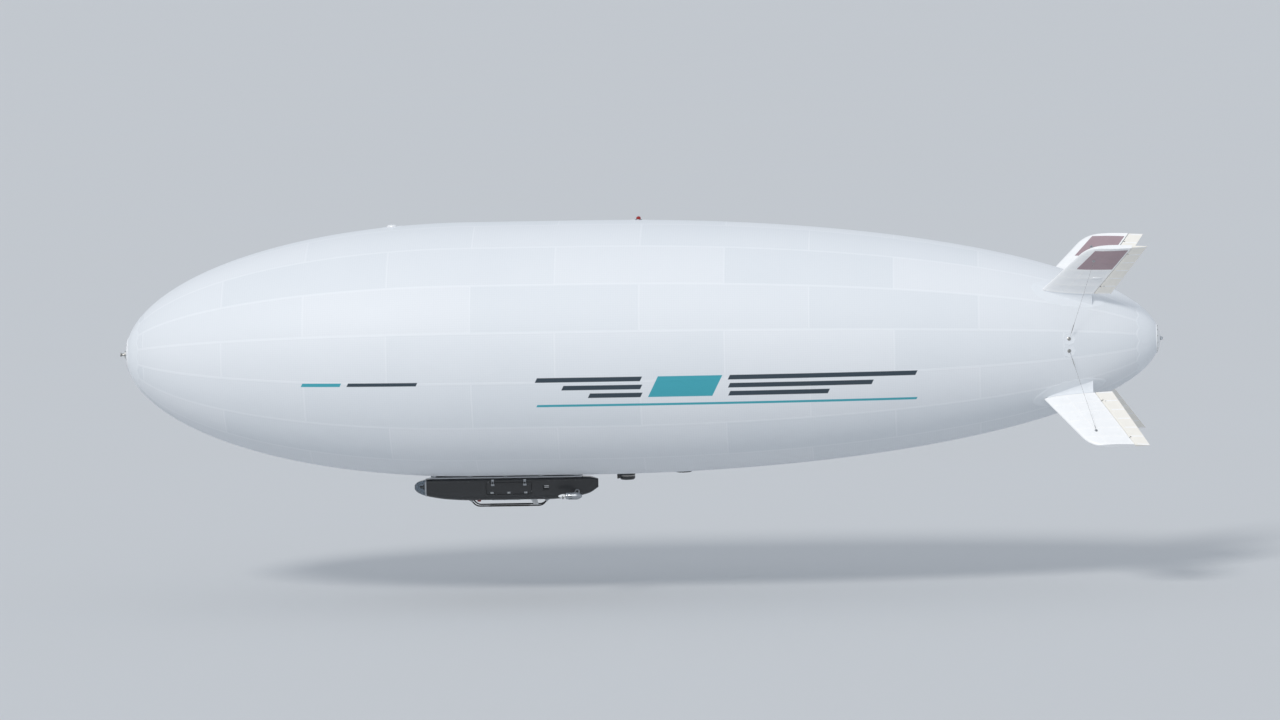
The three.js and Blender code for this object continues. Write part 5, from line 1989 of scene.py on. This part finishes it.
@dataclass(frozen=True)
class Propulsion:
    """The tilting cross tube with a motor pod and a two-blade propeller on each end."""

    body: str = "tilt_shaft"
    shaft_x: float = 0.650
    shaft_z: float = -2.498
    tube: float = 0.025
    tube_end: float = 0.985
    reach: float = 1.000
    plane: float = 0.196
    tip_start: float = 0.335
    # Where each clamp collar starts on the tube, and its width
    clamps: tuple = ((0.226, 0.018), (0.905, 0.026))
    # Columns: radius, chord, thickness, pitch in degrees
    blade: tuple = (
        (0.020, 0.034, 0.0160, 38.0),
        (0.070, 0.050, 0.0120, 34.0),
        (0.150, 0.066, 0.0090, 25.0),
        (0.260, 0.054, 0.0070, 17.0),
        (0.350, 0.036, 0.0050, 13.0),
        (0.380, 0.018, 0.0040, 12.0),
    )
    # Turned parts in millimetres: radius and height
    barrel: tuple = (
        (6, -130), (15.5, -129), (22, -125.5), (30, -115), (38.5, -101), (46.5, -85), (54, -68), (59, -54),
        (61.5, -42), (62, -30), (62, 64), (62, 102), (61.2, 104.2), (59, 104.5), (4, 104.5),
    )
    groove: tuple = ((61.2, 25.5), (66, 25.5), (66, 27), (61.2, 27))
    bell: tuple = (
        (50, 104), (53, 106), (54, 108), (54, 144), (52.5, 148), (49, 150), (20, 150), (18, 148),
        (8.8, 148), (8.8, 110),
    )
    saddle: tuple = ((25.6, 52), (34, 50), (36, 56), (34.5, 66), (30, 72), (25.6, 73))
    spinner: tuple = (
        (8.5, -36), (34, -37.5), (35.8, -35), (36, -10), (35, 6), (32.5, 23), (28.8, 40), (24, 55),
        (18, 68), (11.5, 78), (6, 83.5), (1, 85.8),
    )

    def cross_tube(self) -> None:
        """Makes the carbon tube with its clamp collars."""
        port = spin(-90, "X")
        shape = Shape([CARBON_TUBE, ALLOY, STEEL], shift(self.shaft_x, 0, self.shaft_z))
        for at, wide in self.clamps:
            end = at + wide
            flat, low = [(0.0335, at + 0.002), (0.0335, end - 0.002)], 0.0251
            ring = [(low, at), (0.0320, at), *flat, (0.0320, end), (low, end)]
            shape.turned(ring, port, 48, ALLOY, around=True)
            shape.block((0.030, -0.0045, at + 0.002), (0.044, 0.0045, end - 0.002), port, ALLOY, 0.001)
            bolt = [port @ Vector((0.039, y, at + wide / 2)) for y in (-0.0085, 0.0085)]
            shape.tube(bolt, 0.0022, finish=STEEL)
        shape.mirrored().turned([(self.tube, -self.tube_end), (self.tube, self.tube_end)], port, 48)
        shape.dress("cross_tube_carbon", "cross_tube", body=self.body)

    def pod(self, side: Side) -> None:
        """Makes one motor pod: tail cone, barrel with cooling slots and the motor's bell.

        Args:
            side: which side.
        """
        place = side.turn @ shift(self.shaft_x, self.reach, self.shaft_z)
        ahead = spin(90, "Y")
        coats = [ALLOY, ABS]
        slots, barrel = Shape(coats), Shape(coats, place)
        for slot in circle(ahead, 10, 0, 0):
            slots.block((0.0480, -0.0050, 0.038), (0.070, 0.0050, 0.092), slot, ABS, 0.0015)
        groove = Shape(coats).turned(mm(*self.groove), ahead, 96, ABS, around=True)
        barrel.turned(mm(*self.barrel), ahead, 96).cut(slots).cut(groove)
        name = f"motor_pod_{side.value}"
        barrel.dress(f"{name}_barrel", name, body=self.body)
        shape = Shape([ALLOY, STEEL, ABS], place).turned(mm(*self.bell), ahead, 96, around=True)
        for rib in circle(ahead, 24, 0, 0, 0):
            shape.block((0.0530, -0.0016, 0.112), (0.0546, 0.0016, 0.140), rib, chamfer=0.0005)
        for slot in circle(ahead, 8, 0, 0):
            shape.block((0.0240, -0.0050, 0.1490), (0.0460, 0.0050, 0.15015), slot, ABS, 0.0004)
        shape.screws(0.0035, [spot @ ahead for spot in circle(ahead, 4, 0.061, 0.015)])
        shape.turned(mm(*self.saddle), spin(90, "X"), 48, around=True)
        shape.dress(f"{name}_bell", body=self.body)

    def blade_rings(self) -> list[list[Vector]]:
        """Draws the sections of one blade, twisted and thinned towards a round tip.

        Returns:
            The rings, from the root to the tip.
        """
        rings = []
        for radius, chord, thick, pitch in smooth_rows(self.blade, 6):
            tip = max(0.0, (radius - 0.352) / 0.028)
            wide = chord * sqrt(max(0.02, 1 - 0.75 * tip**2))
            sine, cosine = sin(radians(pitch)), cos(radians(pitch))
            ring = []
            for turn in (2 * pi * i / 32 for i in range(32)):
                part = (1 - cos(turn)) / 2
                along = (0.5 - part) * wide
                swell = 2.6 * aerofoil(part, 0.1036) * (0.62 if turn < pi else -0.42)
                up = thick * (swell + 0.22 * sin(pi * part))
                ring.append(Vector((along * sine + up * cosine, radius, along * cosine - up * sine)))
            rings.append(ring)
        return rings

    def propeller(self, side: Side) -> None:
        """Makes one propeller: two carbon blades with pale tips, hub and spinner.

        Args:
            side: which side.
        """
        body = f"propeller_{side.value}"
        place = side.turn @ shift(self.shaft_x + self.plane, self.reach, self.shaft_z)
        shape = Shape([CARBON, GELCOAT, STEEL], place)
        rings = self.blade_rings()
        split = next(i for i, ring in enumerate(rings) if ring[0].y > self.tip_start)
        for turn in (Matrix(), DOWN):
            moved = [[turn @ point for point in ring] for ring in rings]
            shape.rings(moved[: split + 1]).rings(moved[split:], GELCOAT)
        ahead = spin(90, "Y")
        shape.turned(mm(*self.spinner), ahead, 72, GELCOAT)
        trim = mm((36.1, -23), (36.8, -22.5), (36.8, -17.5), (36.1, -17))
        shape.turned(trim, ahead, 72, STEEL, around=True)
        shape.turned(mm((7.8, -100), (8, -36)), ahead, 32, STEEL)
        shape.screws(0.003, [spot @ ahead for spot in circle(ahead, 4, 0.0352, -0.030)])
        shape.dress(f"{body}_blades", body, body=body)

    def build(self) -> None:
        """Builds the tube, both pods and both propellers."""
        self.cross_tube()
        for side in Side:
            self.pod(side)
            self.propeller(side)


@dataclass(frozen=True)
class Studio:
    """A plain pale floor, soft light and a camera at the photograph's viewing angle."""

    floor_size: float = 4000.0
    floor_z: float = -4.4
    distance: float = 120.0
    elevation: float = 4.5
    azimuth: float = 183.0
    roll: float = -1.15
    lens: float = 194.0
    sensor: float = 36.0
    key_energy: float = 1.5
    key_size: float = 12.0
    key_colour: tuple = (1.0, 0.975, 0.94)
    key_from: tuple = (0.30, 0.83, 0.62)
    horizon: str = "#C8CBCF"
    sky: str = "#CED4DC"
    sky_strength: float = 0.96
    paper: Finish = Finish(
        "backdrop paper, matt", None, "#CDCFD1", "#CDD0D3", 0.9, mottle_mm=6000, bump_mm=0.1,
    )

    def floor(self) -> None:
        """Makes the floor."""
        size = self.floor_size
        shape = Shape([self.paper], shift(0, 0, self.floor_z))
        floor = shape.block((-size, -size, -0.5), (size, size, 0.0), chamfer=0.01).mesh("floor")
        floor.data.materials.append(self.paper.make())

    def camera(self) -> None:
        """Aims the camera at the port side from slightly above, as in the photograph."""
        tilt, turn = radians(self.elevation), radians(self.azimuth)
        back = Vector((sin(turn) * cos(tilt), -cos(turn) * cos(tilt), sin(tilt)))
        data = bpy.data.cameras.new("camera")
        data.lens = self.lens
        data.sensor_width = self.sensor
        data.clip_end = 9000.0
        camera = bpy.data.objects.new("camera", data)
        camera.location = (CAD_BOX[0] + CAD_BOX[1]) / 2 + back * self.distance
        camera.rotation_mode = "QUATERNION"
        camera.rotation_quaternion = back.to_track_quat("Z", "Y") @ spin(self.roll).to_quaternion()
        bpy.context.scene.collection.objects.link(camera)
        bpy.context.scene.camera = camera

    def lights(self) -> None:
        """Sets a broad key from behind the camera and a pale surround."""
        key = bpy.data.lights.new("key", "SUN")
        key.energy = self.key_energy
        key.angle = radians(self.key_size)
        key.color = self.key_colour
        lamp = bpy.data.objects.new("key", key)
        lamp.rotation_mode = "QUATERNION"
        lamp.rotation_quaternion = Vector(self.key_from).to_track_quat("Z", "Y")
        bpy.context.scene.collection.objects.link(lamp)
        world = bpy.data.worlds.new("surround")
        world.use_nodes = True
        tree = world.node_tree
        tree.nodes.clear()
        height = add(tree, "SeparateXYZ", (add(tree, "TexCoord").outputs["Generated"],)).outputs[2]
        climb = add(tree, "MapRange", {"Value": height, "From Max": 0.35})
        tones = {0: climb, 6: linear(self.horizon), 7: linear(self.sky)}
        colour = add(tree, "Mix", tones, data_type="RGBA").outputs[2]
        background = add(tree, "Background", {"Color": colour, "Strength": self.sky_strength})
        add(tree, "OutputWorld", {"Surface": background})
        bpy.context.scene.world = world
        bpy.context.scene.view_settings.view_transform = "Standard"

    def build(self) -> None:
        """Sets the stage."""
        self.floor()
        self.camera()
        self.lights()


FIN_ANGLES = {"port_upper": 45.0, "port_lower": 135.0, "starboard_lower": 225.0, "starboard_upper": 315.0}


def write_sizes() -> None:
    """Updates the view layer."""
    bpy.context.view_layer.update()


def main() -> None:
    """Builds every sub-assembly in order."""
    logging.basicConfig(level=logging.INFO, format="%(name)s: %(message)s")
    Studio().build()
    HULL.build()
    EndFittings().build()
    for name, angle in FIN_ANGLES.items():
        Fin(name, angle).build()
    HullFittings().build()
    KeelFrame().build()
    Gondola().build()
    Propulsion().build()
    write_sizes()


if __name__ == "__main__":
    main()
